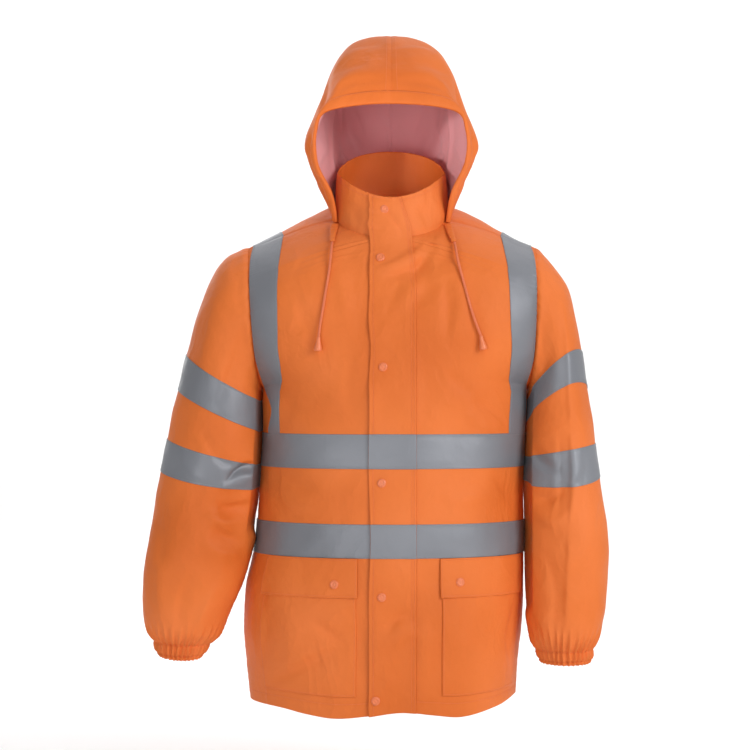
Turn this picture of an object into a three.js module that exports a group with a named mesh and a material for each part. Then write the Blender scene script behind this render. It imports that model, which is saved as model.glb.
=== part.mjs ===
// Hi-vis work jacket with its hood up, hollow and filled out as if worn, arms hanging beside it.
// Millimetres, +Z up, the front faces -Y. The origin lies between the shoulders, level with the
// sides of the neck seam, where the wearer's shoulders carry the jacket.
// Left and right are the wearer's own: the wearer's left is +X.
import * as THREE from "three";

const at = (x, y, z) => new THREE.Vector3(x, y, z);
const rad = THREE.MathUtils.degToRad;
const lerp = THREE.MathUtils.lerp;
const clamp = THREE.MathUtils.clamp;

// Cloth, tape and seams
const clothThickness = 1.4;
const liningThickness = 1;
const tapeThickness = 0.7;
const seamGap = 0.3;
const liningGap = 0.8;
const liningInset = 0.4;
const flapLift = 1.4;
const tapeWidth = 50;

const leftSide = 1;
const rightSide = -1;

// Torso sections, from the hem up. halfLeft and halfRight reach from the centre line to each side
// seam, front and back from the side seams' plane to the middle of the front and of the back.
// Above the armpit the armhole takes over from the two half widths.
const torso = [
  { z: -748, halfLeft: 193, halfRight: 218, front: 142, back: 136 },
  { z: -700, halfLeft: 195, halfRight: 224, front: 148, back: 142 },
  { z: -640, halfLeft: 199, halfRight: 227, front: 151, back: 146 },
  { z: -570, halfLeft: 203, halfRight: 222, front: 150, back: 145 },
  { z: -510, halfLeft: 203, halfRight: 208, front: 147, back: 142 },
  { z: -440, halfLeft: 201, halfRight: 200, front: 144, back: 138 },
  { z: -360, halfLeft: 203, halfRight: 196, front: 141, back: 135 },
  { z: -262, halfLeft: 211, halfRight: 197, front: 135, back: 130 },
  { z: -150, halfLeft: 212, halfRight: 199, front: 125, back: 126 },
  { z: -85, halfLeft: 212, halfRight: 199, front: 108, back: 113 },
  { z: -36, halfLeft: 212, halfRight: 199, front: 88, back: 98 },
  { z: 42, halfLeft: 212, halfRight: 199, front: 60, back: 72 },
];
const sidePlaneY = -4;
const hemZ = -748;
const armpitZ = -262;
const roundness = 0.6;

// How far the hem's edge rises above or falls below its level, by its place across the front
const hemWave = [
  { x: -214, rise: 3 },
  { x: -170, rise: 1 },
  { x: -132, rise: -5 },
  { x: -85, rise: -10 },
  { x: -39, rise: -6 },
  { x: 15, rise: 0 },
  { x: 65, rise: -5 },
  { x: 105, rise: -9 },
  { x: 157, rise: 1 },
  { x: 190, rise: 11 },
];
const hemWaveReach = 0.14;

// Rows of the cut cloth, by height up to the armpit. Tapes, flaps and pockets end on them.
const pocketFoot = -724;
const flapFoot = -577;
const pocketHead = -545;
const lowerHoop = [-518, -468];
const upperHoop = [-385, -334];
const rowHeights = [
  hemZ, pocketFoot, -690, -650, -612, flapFoot, pocketHead, ...lowerHoop, -428,
  ...upperHoop, -298, armpitZ,
];

// Armhole, an upright egg: angle 0 is the armpit, 90 the front, 180 the shoulder point
const armhole = { topZ: -47, depth: 84, centreY: sidePlaneY, topLeft: 224, topRight: 221 };
const armholeAtPit = 118;
const armholeAtSeam = 166;
const armholeAtNape = 130;

// How a row bends on its way to the armhole: the angle at which it arrives there, at the armpit and
// at the neck seam, how fast the angle eases, how far the row falls on arriving, how far it turns
// to the straight line as it leaves and arrives, and the shares of it that both bends take
const rowBend = {
  atPit: 90, atNeck: 34, easing: 0.7, fall: 0.3, leaveTurn: 0.35, leaveTurnGrowth: 0.2, arriveTurn: 0.5,
  leaveShare: 0.4, arriveShare: 0.28, depthAtPit: 135,
};

// Neck seam, a ring that rises to the back: angle 0 is the front, 180 the nape
const neck = { halfWidth: 87, centreY: -12, halfDepth: 80, centreZ: 3, rise: 39, dip: 1 };
const neckAtSeam = 78;
// The collar's top stays high at the sides and dips late towards the throat
const collarTop = { halfWidth: 84, centreY: -8, halfDepth: 73, centreZ: 68, rise: 42, dip: 1.8 };
const collarSwell = 2;

// Reflective braces, by the distance of their outer edge from the armhole or the side seam
const braceEdge = [
  { row: 0, inset: 33 },
  { row: 1, inset: 29 },
  { row: 1.25, inset: 14 },
  { row: 1.5, inset: 3 },
  { row: 2.3, inset: 3 },
  { row: 3, inset: 8 },
];

// Columns across each half of the front and of the back. Column 1 lies under the placket,
// column 2 is a pocket's inner edge, 6 and 9 are a brace's edges, 10 is the side seam or armhole.
const columns = 10;
const pocketColumn = 2;
const braceInner = 6;
const braceOuter = 9;
const underPlacket = 24;
const pocketInner = { left: 73, right: 51 };
const pocketOuterColumn = { left: 8, right: 6 };

// Large soft folds of the torso: a hollow where depth is below 0, a swell above it
const torsoFolds = [
  { face: "front", x: 62, z: -92, turn: 58, length: 60, width: 15, depth: -5 },
  { face: "front", x: 35, z: -118, turn: 38, length: 46, width: 14, depth: 4 },
  { face: "front", x: 96, z: -330, turn: 15, length: 70, width: 30, depth: -3 },
  { face: "front", x: -120, z: -300, turn: -20, length: 80, width: 28, depth: -3 },
  { face: "front", x: -95, z: -650, turn: 28, length: 95, width: 26, depth: -5 },
  { face: "front", x: 20, z: -672, turn: 80, length: 60, width: 22, depth: -4 },
  { face: "front", x: 112, z: -660, turn: -60, length: 80, width: 26, depth: 4 },
  { face: "back", x: -70, z: -300, turn: -30, length: 110, width: 30, depth: -6 },
  { face: "back", x: 85, z: -270, turn: 35, length: 100, width: 28, depth: -5 },
  { face: "back", x: 10, z: -560, turn: 82, length: 120, width: 34, depth: -6 },
  { face: "back", x: -120, z: -620, turn: 70, length: 90, width: 26, depth: -4 },
  { face: "back", x: 130, z: -600, turn: -75, length: 90, width: 26, depth: -4 },
];

// Sleeve sections from the shoulder down. outer and inner are the two ends of a section as seen
// from the front, lift raises its front above the line between them, and frontY and backY are
// how far it reaches towards the front and the back.
const rightSleeve = [
  { outerX: 259, outerZ: -64, innerX: 200, innerZ: -266, lift: 0, frontY: -90, backY: 80 },
  { outerX: 285, outerZ: -106, innerX: 202, innerZ: -271, lift: 0, frontY: -92, backY: 77 },
  { outerX: 302, outerZ: -156, innerX: 203, innerZ: -276, lift: -4, frontY: -92, backY: 74 },
  { outerX: 317, outerZ: -213, innerX: 201, innerZ: -283, lift: -7, frontY: -92, backY: 70 },
  { outerX: 330, outerZ: -267, innerX: 200, innerZ: -330, lift: -6, frontY: -93, backY: 62 },
  { outerX: 340, outerZ: -306, innerX: 200, innerZ: -357, lift: -4, frontY: -94, backY: 57 },
  { outerX: 347, outerZ: -342, innerX: 202, innerZ: -381, lift: -6, frontY: -95, backY: 52 },
  { outerX: 356, outerZ: -391, innerX: 205, innerZ: -417, lift: -9, frontY: -97, backY: 47 },
  { outerX: 366, outerZ: -445, innerX: 211, innerZ: -466, lift: -4, frontY: -100, backY: 42 },
  { outerX: 376, outerZ: -506, innerX: 223, innerZ: -520, lift: 0, frontY: -102, backY: 36 },
  { outerX: 382, outerZ: -562, innerX: 236, innerZ: -570, lift: 0, frontY: -103, backY: 30 },
  { outerX: 382, outerZ: -605, innerX: 250, innerZ: -610, lift: 0, frontY: -102, backY: 24 },
  { outerX: 376, outerZ: -636, innerX: 262, innerZ: -641, lift: 0, frontY: -97, backY: 16 },
  { outerX: 364, outerZ: -653, innerX: 280, innerZ: -658, lift: -1, frontY: -86, backY: 2 },
  { outerX: 362, outerZ: -664, innerX: 286, innerZ: -669, lift: -3, frontY: -82, backY: -4 },
  { outerX: 355, outerZ: -674, innerX: 294, innerZ: -678, lift: -4, frontY: -78, backY: -10 },
];
const leftSleeve = [
  { outerX: 246, outerZ: -68, innerX: 213, innerZ: -268, lift: 2, frontY: -90, backY: 80 },
  { outerX: 274, outerZ: -106, innerX: 215, innerZ: -273, lift: 7, frontY: -92, backY: 77 },
  { outerX: 286, outerZ: -155, innerX: 216, innerZ: -278, lift: 17, frontY: -92, backY: 74 },
  { outerX: 296, outerZ: -217, innerX: 213, innerZ: -285, lift: 29, frontY: -92, backY: 70 },
  { outerX: 303, outerZ: -267, innerX: 209, innerZ: -318, lift: 27, frontY: -95, backY: 60 },
  { outerX: 310, outerZ: -310, innerX: 207, innerZ: -343, lift: 14, frontY: -100, backY: 52 },
  { outerX: 315, outerZ: -350, innerX: 206, innerZ: -370, lift: 0, frontY: -104, backY: 44 },
  { outerX: 322, outerZ: -398, innerX: 205, innerZ: -408, lift: -12, frontY: -110, backY: 36 },
  { outerX: 327, outerZ: -451, innerX: 206, innerZ: -456, lift: -4, frontY: -116, backY: 30 },
  { outerX: 333, outerZ: -512, innerX: 207, innerZ: -517, lift: 0, frontY: -120, backY: 24 },
  { outerX: 332, outerZ: -566, innerX: 207, innerZ: -567, lift: 0, frontY: -120, backY: 18 },
  { outerX: 327, outerZ: -610, innerX: 210, innerZ: -607, lift: 0, frontY: -118, backY: 12 },
  { outerX: 319, outerZ: -642, innerX: 217, innerZ: -644, lift: 0, frontY: -112, backY: 4 },
  { outerX: 308, outerZ: -664, innerX: 226, innerZ: -664, lift: -1, frontY: -100, backY: -12 },
  { outerX: 307, outerZ: -675, innerX: 228, innerZ: -675, lift: -2, frontY: -96, backY: -18 },
  { outerX: 302, outerZ: -684, innerX: 232, innerZ: -684, lift: -2, frontY: -92, backY: -24 },
];
const sleeveInset = 0.5;
const gatherFrom = 12;
const gatherDepth = [0, 1.2, 2.6, 2.9, 2.6];
const pointsInGather = 3;
const sleeveTapes = [
  { name: "upper", from: 4, to: 5 },
  { name: "lower", from: 7, to: 8 },
];

// Large folds of the sleeves, by section and angle round it
const sleeveFolds = [
  { side: rightSide, section: 8.6, angle: 50, sections: 1.3, degrees: 34, depth: -9 },
  { side: rightSide, section: 7.2, angle: 30, sections: 0.9, degrees: 26, depth: 5 },
  { side: rightSide, section: 3.2, angle: 72, sections: 1.4, degrees: 22, depth: -4 },
  { side: rightSide, section: 9, angle: 230, sections: 1.6, degrees: 34, depth: -7 },
  { side: leftSide, section: 7.4, angle: 118, sections: 3.2, degrees: 17, depth: 4 },
  { side: leftSide, section: 8.4, angle: 62, sections: 2.2, degrees: 30, depth: -8 },
  { side: leftSide, section: 3.2, angle: 70, sections: 1.4, degrees: 22, depth: -4 },
  { side: leftSide, section: 8.6, angle: 235, sections: 1.6, degrees: 34, depth: -7 },
];

// Hood sections, arches from the neck seam over to the centre seam, from the face edge to the
// nape. base is the arch's foot on the neck seam, by its angle. The half widths stand at a
// quarter, half, three quarters and nearly all of the arch's height.
const hoodHeights = [0, 0.25, 0.5, 0.75, 0.94, 1];
const hood = [
  { crownY: -108, crownZ: 166, base: 70, lean: 0.8, jaw: 94, cheek: 115, temple: 117, brow: 97 },
  { crownY: -88, crownZ: 214, base: 80, lean: 0.7, jaw: 114, cheek: 130, temple: 105, brow: 74 },
  { crownY: -36, crownZ: 269, base: 92, lean: 0.6, jaw: 108, cheek: 117, temple: 101, brow: 67 },
  { crownY: 28, crownZ: 286, base: 106, lean: 0.6, jaw: 99, cheek: 105, temple: 95, brow: 62 },
  { crownY: 88, crownZ: 262, base: 120, lean: 0.6, jaw: 90, cheek: 95, temple: 84, brow: 50 },
  { crownY: 128, crownZ: 205, base: 134, lean: 0.7, jaw: 82, cheek: 86, temple: 75, brow: 45 },
  { crownY: 136, crownZ: 138, base: 147, lean: 0.8, jaw: 68, cheek: 70, temple: 60, brow: 34 },
  { crownY: 112, crownZ: 80, base: 157, lean: 1, jaw: 48, cheek: 46, temple: 37, brow: 20 },
];
const hoodClearance = 5;
const hoodRaise = 1.2;
const archCount = 14;
const archPoints = 12;
const napeFrom = 164;
const hoodHemSections = 0.4;

// Tails of the hood's channel, flat tubes that run down onto the chest
const tails = {
  left: [
    { x: 87.3, y: -47.8, z: -13.2, width: 13, thickness: 3.2 },
    { x: 89, y: -58.3, z: -19.8, width: 12, thickness: 3.2 },
    { x: 90, y: -67.8, z: -25.8, width: 11, thickness: 3.2 },
    { x: 92, y: -77.4, z: -33.5, width: 9.5, thickness: 3.4 },
    { x: 95, y: -86.8, z: -42.2, width: 7.5, thickness: 3.6 },
  ],
  right: [
    { x: -87.3, y: -48, z: -13.2, width: 13, thickness: 3.2 },
    { x: -88.3, y: -58.5, z: -19.8, width: 12, thickness: 3.2 },
    { x: -89.2, y: -68.6, z: -26, width: 11, thickness: 3.2 },
    { x: -89.8, y: -78.3, z: -33.4, width: 9.5, thickness: 3.4 },
    { x: -90, y: -89, z: -42, width: 7.5, thickness: 3.6 },
  ],
};
const tailOut = at(0, -0.62, 0.78);
const tailSides = 10;

// Drawcords, which leave the tails and hang free down the chest to their bells
const cordRoutes = {
  left: [
    { x: 95.6, y: -89.6, z: -44 },
    { x: 97.2, y: -101, z: -55 },
    { x: 98.8, y: -109.6, z: -67.4 },
    { x: 103.9, y: -116.6, z: -89.4 },
    { x: 111.1, y: -123.3, z: -117 },
    { x: 118.4, y: -128.6, z: -144.5 },
    { x: 126.6, y: -130, z: -168.6 },
    { x: 133.5, y: -129.5, z: -186.5 },
  ],
  right: [
    { x: -90.1, y: -92, z: -43.8 },
    { x: -91, y: -103.5, z: -56 },
    { x: -92, y: -111.2, z: -70.4 },
    { x: -94.8, y: -117.6, z: -94 },
    { x: -99.1, y: -125, z: -120 },
    { x: -103.4, y: -130, z: -147.5 },
    { x: -107.1, y: -132, z: -170.1 },
    { x: -109.3, y: -132.5, z: -188.1 },
  ],
};
const cordDiameter = 4;
const cordSides = 8;
const cordSteps = 16;
const bell = { length: 21, topRadius: 2.7, waistRadius: 3.6, footRadius: 6, sides: 12 };

// Snaps of the placket, by their distance from the centre line and their height
const placketSnaps = [
  { x: -10, z: 6 },
  { x: -17, z: -68 },
  { x: -13, z: -233 },
  { x: -15, z: -406 },
  { x: -15, z: -575 },
  { x: -24, z: -727 },
];
const pocketSnaps = { left: { distance: 103, z: -554 }, right: { distance: 86, z: -557 } };
const snapSides = 12;
const snapProfile = [
  { radius: 0, height: 0 },
  { radius: 6.6, height: 0 },
  { radius: 6.6, height: 1.2 },
  { radius: 5.2, height: 2.5 },
  { radius: 3.6, height: 2.5 },
  { radius: 3, height: 1.9 },
  { radius: 0, height: 1.9 },
];
const snapClearance = 0.4;

const orange = 0xe4753a;
const shell = new THREE.MeshStandardMaterial({ color: orange, roughness: 0.6, metalness: 0 });
const liningCloth = new THREE.MeshStandardMaterial({ color: 0xc98784, roughness: 0.8, metalness: 0 });
const reflective = new THREE.MeshStandardMaterial({ color: 0x808388, roughness: 0.45, metalness: 0.1 });
const snapPlastic = new THREE.MeshStandardMaterial({ color: 0xf08a62, roughness: 0.35, metalness: 0 });
const cordBraid = new THREE.MeshStandardMaterial({ color: 0xe8794e, roughness: 0.8, metalness: 0 });

// Value of one column of a table at a place along another, on a smooth curve through the rows
function smoothColumn(table, key, along, place) {
  const last = table.length - 1;
  let i = 0;
  while (i < last - 1 && place > table[i + 1][along]) i += 1;
  const slope = (k) => {
    const a = table[Math.max(k - 1, 0)];
    const b = table[Math.min(k + 1, last)];
    return (b[key] - a[key]) / (b[along] - a[along]);
  };
  const a = table[i];
  const b = table[i + 1];
  const span = b[along] - a[along];
  const t = clamp((place - a[along]) / span, 0, 1);
  const t2 = t * t;
  const t3 = t2 * t;
  return (2 * t3 - 3 * t2 + 1) * a[key] + (t3 - 2 * t2 + t) * span * slope(i) +
    (3 * t2 - 2 * t3) * b[key] + (t3 - t2) * span * slope(i + 1);
}

// A point on the smooth curve through a list of points, by a place counted in points
function smoothPoint(points, place) {
  const last = points.length - 1;
  const i = clamp(Math.floor(place), 0, last - 1);
  const pick = (k) => points[clamp(k, 0, last)];
  const before = i > 0 ? pick(i - 1) : pick(0).clone().multiplyScalar(2).sub(pick(1));
  const after = i + 2 <= last ? pick(i + 2) : pick(last).clone().multiplyScalar(2).sub(pick(last - 1));
  const curve = (a, b, c, d, t) => 0.5 * (2 * b + (c - a) * t + (2 * a - 5 * b + 4 * c - d) * t * t +
    (3 * b - a - 3 * c + d) * t * t * t);
  const t = place - i;
  return at(
    curve(before.x, pick(i).x, pick(i + 1).x, after.x, t),
    curve(before.y, pick(i).y, pick(i + 1).y, after.y, t),
    curve(before.z, pick(i).z, pick(i + 1).z, after.z, t),
  );
}

// A soft ridge or hollow: 1 in its middle, dying away along its length and across its width
function bump(along, across, length, width) {
  return Math.exp(-((along / length) ** 2) - (across / width) ** 2);
}

function ringPoint(ring, angle, out = 0) {
  const a = rad(angle);
  return at(
    (ring.halfWidth + out) * Math.sin(a),
    ring.centreY - (ring.halfDepth + out) * Math.cos(a),
    ring.centreZ - ring.rise * (Math.cos(a) > 0 ? Math.cos(a) ** ring.dip : Math.cos(a)),
  );
}

// The armhole's edge on one side, at an angle from the armpit by way of the front
function armholePoint(side, angle) {
  const a = rad(angle);
  const foot = smoothColumn(torso, side > 0 ? "halfLeft" : "halfRight", "z", armpitZ);
  const top = side > 0 ? armhole.topLeft : armhole.topRight;
  const middleZ = (armhole.topZ + armpitZ) / 2;
  const halfHeight = (armhole.topZ - armpitZ) / 2;
  return at(
    side * (foot + (top - foot) * Math.abs(Math.sin(a / 2))),
    armhole.centreY - armhole.depth * Math.sin(a),
    middleZ - halfHeight * Math.cos(a),
  );
}

function bezier(points, t) {
  const s = 1 - t;
  return points[0].clone().multiplyScalar(s * s * s)
    .addScaledVector(points[1], 3 * s * s * t)
    .addScaledVector(points[2], 3 * s * t * t)
    .addScaledVector(points[3], t * t * t);
}

// The line across half of the front or back at one row, from the centre line or the neck seam to
// the side seam or the armhole. Rows 0 to 1 rise from the hem to the armpit, 1 to 2 from there
// to the neck seam, and 2 to 3 go round the neck seam to the shoulder seam.
function rowCurve(side, face, row) {
  const front = face === "front";
  const toFace = front ? -1 : 1;
  const neckAngle = (share) => (front ? neckAtSeam * share : lerp(180, neckAtSeam, share));
  const atNeck = front ? armholeAtPit : armholeAtNape;
  const atSeam = front ? armholeAtSeam : 360 - armholeAtSeam;
  const armholeAngle = (angle) => armholePoint(side, front ? angle : 360 - angle);
  const neckZ = ringPoint(neck, neckAngle(0)).z;
  const middle = (z) => at(0, sidePlaneY + toFace * smoothColumn(torso, face, "z", z), z);
  if (row <= 1) {
    const z = lerp(hemZ, armpitZ, row);
    const half = smoothColumn(torso, side > 0 ? "halfLeft" : "halfRight", "z", z);
    const depth = smoothColumn(torso, face, "z", z);
    const start = middle(z);
    const end = at(side * half, sidePlaneY, z);
    return [
      start,
      start.clone().add(at(side * half * roundness, 0, 0)),
      end.clone().add(at(0, toFace * depth * roundness, 0)),
      end,
    ];
  }
  const share = row - (row <= 2 ? 1 : 2);
  const start = row <= 2 ? middle(lerp(armpitZ, neckZ, share))
    : ringPoint(neck, neckAngle(share)).multiply(at(side, 1, 1));
  const end = row <= 2 ? armholeAngle(atNeck * share) : armholeAngle(lerp(atNeck, atSeam, share));
  const chord = end.clone().sub(start);
  const reach = chord.length();
  const turned = row <= 2 ? lerp(rowBend.atPit, rowBend.atNeck, share ** rowBend.easing)
    : lerp(rowBend.atNeck, 0, share);
  const arrive = at(side * Math.cos(rad(turned)), -toFace * Math.sin(rad(turned)), 0);
  const leave = at(side, 0, 0);
  const straight = chord.clone().normalize();
  if (row <= 2) {
    arrive.z = -rowBend.fall * share;
  } else {
    leave.lerp(straight, rowBend.leaveTurn + rowBend.leaveTurnGrowth * share);
    arrive.z = -rowBend.fall;
    arrive.lerp(straight, rowBend.arriveTurn * share);
  }
  const leaveFull = reach * rowBend.leaveShare;
  const arriveFull = reach * rowBend.arriveShare;
  const leaveLength = row <= 2 ? lerp(Math.abs(chord.x) * roundness, leaveFull, share) : leaveFull;
  const arriveLength = row <= 2 ? lerp(rowBend.depthAtPit * roundness, arriveFull, share) : arriveFull;
  return [
    start,
    start.clone().addScaledVector(leave.normalize(), leaveLength),
    end.clone().addScaledVector(arrive.normalize(), -arriveLength),
    end,
  ];
}

// The columns' places along a row, as distances from its start
function columnPlaces(side, face, row, length) {
  const outer = length - smoothColumn(braceEdge, "inset", "row", row);
  const inner = outer - tapeWidth;
  const pocket = side > 0 ? pocketInner.left : pocketInner.right;
  const even = (a, b, share) => a + (b - a) * share;
  const places = [0, underPlacket, pocket];
  for (let c = 3; c < braceInner; c += 1) places.push(even(pocket, inner, (c - 2) / (braceInner - 2)));
  places.push(inner, even(inner, outer, 1 / 3), even(inner, outer, 2 / 3), outer, length);
  if (row > 2 || face === "back") {
    const share = face === "back" ? 1 : clamp((row - 2) * 3, 0, 1);
    for (let c = 1; c < braceInner; c += 1) places[c] = even(places[c], (inner * c) / braceInner, share);
  }
  return places;
}

const curveSteps = 32;

// A row's curve with the distance of each of its steps from the start
function measuredRow(side, face, row) {
  const curve = rowCurve(side, face, row);
  const lengths = [0];
  let last = bezier(curve, 0);
  for (let i = 1; i <= curveSteps; i += 1) {
    const next = bezier(curve, i / curveSteps);
    lengths.push(lengths[i - 1] + next.distanceTo(last));
    last = next;
  }
  return { curve, lengths };
}

// A point of the torso's outer surface on one side, by column and row
function torsoPoint(side, face, column, row) {
  const { curve, lengths } = measuredRow(side, face, row);
  const places = columnPlaces(side, face, row, lengths[curveSteps]);
  const cell = clamp(Math.floor(column), 0, columns - 1);
  return pointAlong({ curve, lengths }, face, lerp(places[cell], places[cell + 1], column - cell), row, column);
}

// A point of a measured row at a distance from its start, with the hem's wave and the folds
function pointAlong({ curve, lengths }, face, place, row, column) {
  let k = 0;
  while (k < curveSteps - 1 && lengths[k + 1] < place) k += 1;
  const share = clamp((place - lengths[k]) / (lengths[k + 1] - lengths[k]), 0, 1);
  const point = bezier(curve, (k + share) / curveSteps);
  if (row < hemWaveReach) {
    const fade = (1 - row / hemWaveReach) ** 2;
    const x = clamp(point.x, hemWave[0].x, hemWave[hemWave.length - 1].x);
    point.z += fade * smoothColumn(hemWave, "rise", "x", x);
  }
  return fold(point, face, row, column);
}

// Moves a point of the torso out or in by the large folds of its face
function fold(point, face, row, column) {
  const edge = clamp((columns - column) / 2.5, 0, 1) * clamp((3 - row) / 0.5, 0, 1);
  if (edge === 0) return point;
  let depth = 0;
  for (const f of torsoFolds) {
    if (f.face !== face) continue;
    const dx = point.x - f.x;
    const dz = point.z - f.z;
    const c = Math.cos(rad(f.turn));
    const s = Math.sin(rad(f.turn));
    depth += f.depth * bump(dx * c + dz * s, dz * c - dx * s, f.length, f.width);
  }
  const out = at(point.x / 210 ** 2, (point.y - sidePlaneY) / 145 ** 2, 0).normalize();
  return point.addScaledVector(out, depth * edge);
}

// Rows of one face of the torso, as places from hem to shoulder seam
const lowerRows = rowHeights.map((z) => (z - hemZ) / (armpitZ - hemZ));
const countUp = (from, to, count) => Array.from({ length: count }, (_, i) => lerp(from, to, (i + 1) / count));
const middleCells = 6;
const neckCells = { front: 4, back: 5 };
const rowsOf = (face) => [...lowerRows, ...countUp(1, 2, middleCells), ...countUp(2, 3, neckCells[face])];
const allColumns = Array.from({ length: columns + 1 }, (_, i) => i);

// A sheet is a list of points and the triangles between them, its outer side facing out.
function gridSheet(rows, { flip = false, round = false } = {}) {
  const across = rows[0].length;
  const faces = [];
  for (let i = 0; i + 1 < rows.length; i += 1) {
    for (let j = 0; j + (round ? 0 : 1) < across; j += 1) {
      const a = i * across + j;
      const b = i * across + ((j + 1) % across);
      const c = b + across;
      const d = a + across;
      faces.push(flip ? [a, c, b] : [a, b, c], flip ? [a, d, c] : [a, c, d]);
    }
  }
  return { points: rows.flat(), faces };
}

// Joins sheets that share points along an edge
function joinSheets(sheets) {
  const points = [];
  const index = new Map();
  const faces = [];
  for (const sheet of sheets) {
    const own = sheet.points.map((p) => {
      const key = keyOf(p);
      if (!index.has(key)) {
        index.set(key, points.length);
        points.push(p);
      }
      return index.get(key);
    });
    for (const face of sheet.faces) {
      const [a, b, c] = face.map((i) => own[i]);
      if (a !== b && b !== c && a !== c) faces.push([a, b, c]);
    }
  }
  return { points, faces };
}

const keyOf = (p) => [p.x, p.y, p.z].map((v) => Math.round(v * 100)).join(",");

// Directions that point out of the cloth, shared by all pieces that meet at a point
function outwardOf(sheets) {
  const sums = new Map();
  for (const { points, faces } of sheets) {
    for (const face of faces) {
      const [a, b, c] = face.map((i) => points[i]);
      const normal = b.clone().sub(a).cross(c.clone().sub(a));
      for (const p of [a, b, c]) {
        const key = keyOf(p);
        if (!sums.has(key)) sums.set(key, at(0, 0, 0));
        sums.get(key).add(normal);
      }
    }
  }
  return (p) => sums.get(keyOf(p)).clone().normalize();
}

function rimEdges(faces) {
  const directed = new Set();
  for (const [a, b, c] of faces) for (const [p, q] of [[a, b], [b, c], [c, a]]) directed.add(`${p},${q}`);
  return [...directed].map((e) => e.split(",").map(Number)).filter(([p, q]) => !directed.has(`${q},${p}`));
}

// Draws a sheet's edge in along the cloth, so that the piece ends clear of its neighbours
function drawnIn(sheet, outward, inset) {
  const rim = rimEdges(sheet.faces);
  const pulls = new Map();
  for (const [p, q] of rim) {
    const edge = sheet.points[q].clone().sub(sheet.points[p]).normalize();
    const middle = outward[p].clone().add(outward[q]).normalize();
    const pull = middle.cross(edge);
    for (const i of [p, q]) pulls.set(i, [...(pulls.get(i) || []), pull]);
  }
  const points = sheet.points.map((p) => p.clone());
  for (const [i, [first, second = first]] of pulls) {
    const both = first.clone().add(second).divideScalar(Math.max(1 + first.dot(second), 0.5));
    points[i].addScaledVector(both, inset);
  }
  return { points, faces: sheet.faces, rim };
}

// A wall of cloth: the sheet moved out by lift, given a thickness inwards and closed at its rim
function wall(sheet, outwardAt, { thickness = clothThickness, lift = 0, inset = seamGap / 2 } = {}) {
  const outward = sheet.points.map(outwardAt);
  const { points, faces, rim } = drawnIn(sheet, outward, inset);
  const outer = points.map((p, i) => p.clone().addScaledVector(outward[i], lift));
  const inner = outer.map((p, i) => p.clone().addScaledVector(outward[i], -thickness));
  const n = outer.length;
  const all = [
    ...faces,
    ...faces.map(([a, b, c]) => [a + n, c + n, b + n]),
    ...rim.flatMap(([p, q]) => [[q, p, p + n], [q, p + n, q + n]]),
  ];
  return geometryOf([...outer, ...inner], all);
}

function geometryOf(points, faces) {
  const geometry = new THREE.BufferGeometry();
  geometry.setAttribute("position", new THREE.Float32BufferAttribute(points.flatMap((p) => [p.x, p.y, p.z]), 3));
  geometry.setIndex(faces.flat());
  geometry.computeVertexNormals();
  return geometry;
}

// The grid of one half of the front or back between two columns and two rows
function torsoGrid(side, face, fromColumn = 0, toColumn = columns, fromRow = 0, toRow = 3) {
  const near = 1e-6;
  const rows = rowsOf(face).filter((r) => r > fromRow - near && r < toRow + near);
  const cols = allColumns.filter((c) => c >= fromColumn && c <= toColumn);
  const points = rows.map((r) => cols.map((c) => torsoPoint(side, face, c, r)));
  return gridSheet(points, { flip: (side < 0) !== (face === "back") });
}

const rowAt = (z) => (z - hemZ) / (armpitZ - hemZ);

// Sleeve sections: the armhole first, then the table's
function sleeveSection(side, index, angle) {
  if (index === 0) return armholePoint(side, angle);
  const row = (side > 0 ? leftSleeve : rightSleeve)[index - 1];
  const a = rad(angle);
  const share = (1 - Math.cos(a)) / 2;
  const middleY = (row.frontY + row.backY) / 2;
  const depth = (row.backY - row.frontY) / 2;
  return at(
    side * lerp(row.innerX, row.outerX, share),
    middleY - depth * Math.sin(a),
    lerp(row.innerZ, row.outerZ, share) + row.lift * Math.max(0, Math.sin(a)),
  );
}

const sleeveSections = rightSleeve.length;

function sleevePoint(side, section, angle) {
  const sections = Array.from({ length: sleeveSections + 1 }, (_, i) => sleeveSection(side, i, angle));
  const point = smoothPoint(sections, section);
  const opposite = smoothPoint(sections.map((_, i) => sleeveSection(side, i, angle + 180)), section);
  let depth = 0;
  for (const f of sleeveFolds) {
    if (f.side !== side) continue;
    const around = ((angle - f.angle + 540) % 360) - 180;
    depth += f.depth * bump(section - f.section, around, f.sections, f.degrees);
  }
  const gather = smoothGather(section) * Math.cos((2 * Math.PI * gatherPhase(angle)) % (2 * Math.PI));
  const out = point.clone().sub(opposite).normalize();
  return point.addScaledVector(out, depth * clamp(section, 0, 1) + gather);
}

// How deep the elastic's gathers are at a section
function smoothGather(section) {
  const place = section - gatherFrom;
  if (place <= 0) return 0;
  const i = Math.min(Math.floor(place), gatherDepth.length - 2);
  return lerp(gatherDepth[i], gatherDepth[i + 1], place - i);
}

// The seam's points round the armhole, front then back, shared by torso and sleeve
const armholeAngles = [
  ...[0, ...countUp(1, 2, middleCells).map((r) => armholeAtPit * (r - 1))],
  ...countUp(armholeAtPit, armholeAtSeam, neckCells.front),
  ...countUp(armholeAtNape, 360 - armholeAtSeam, neckCells.back).reverse().slice(1).map((a) => 360 - a),
  360 - armholeAtNape,
  ...countUp(0, armholeAtNape, middleCells).slice(0, -1).reverse().map((a) => 360 - a),
];

// Counts the gathers passed on the way round, one for each gap between the seam's points
function gatherPhase(angle) {
  const round = [...armholeAngles, 360];
  let i = 0;
  while (i < round.length - 2 && round[i + 1] <= angle) i += 1;
  return i + (angle - round[i]) / (round[i + 1] - round[i]);
}

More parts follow.
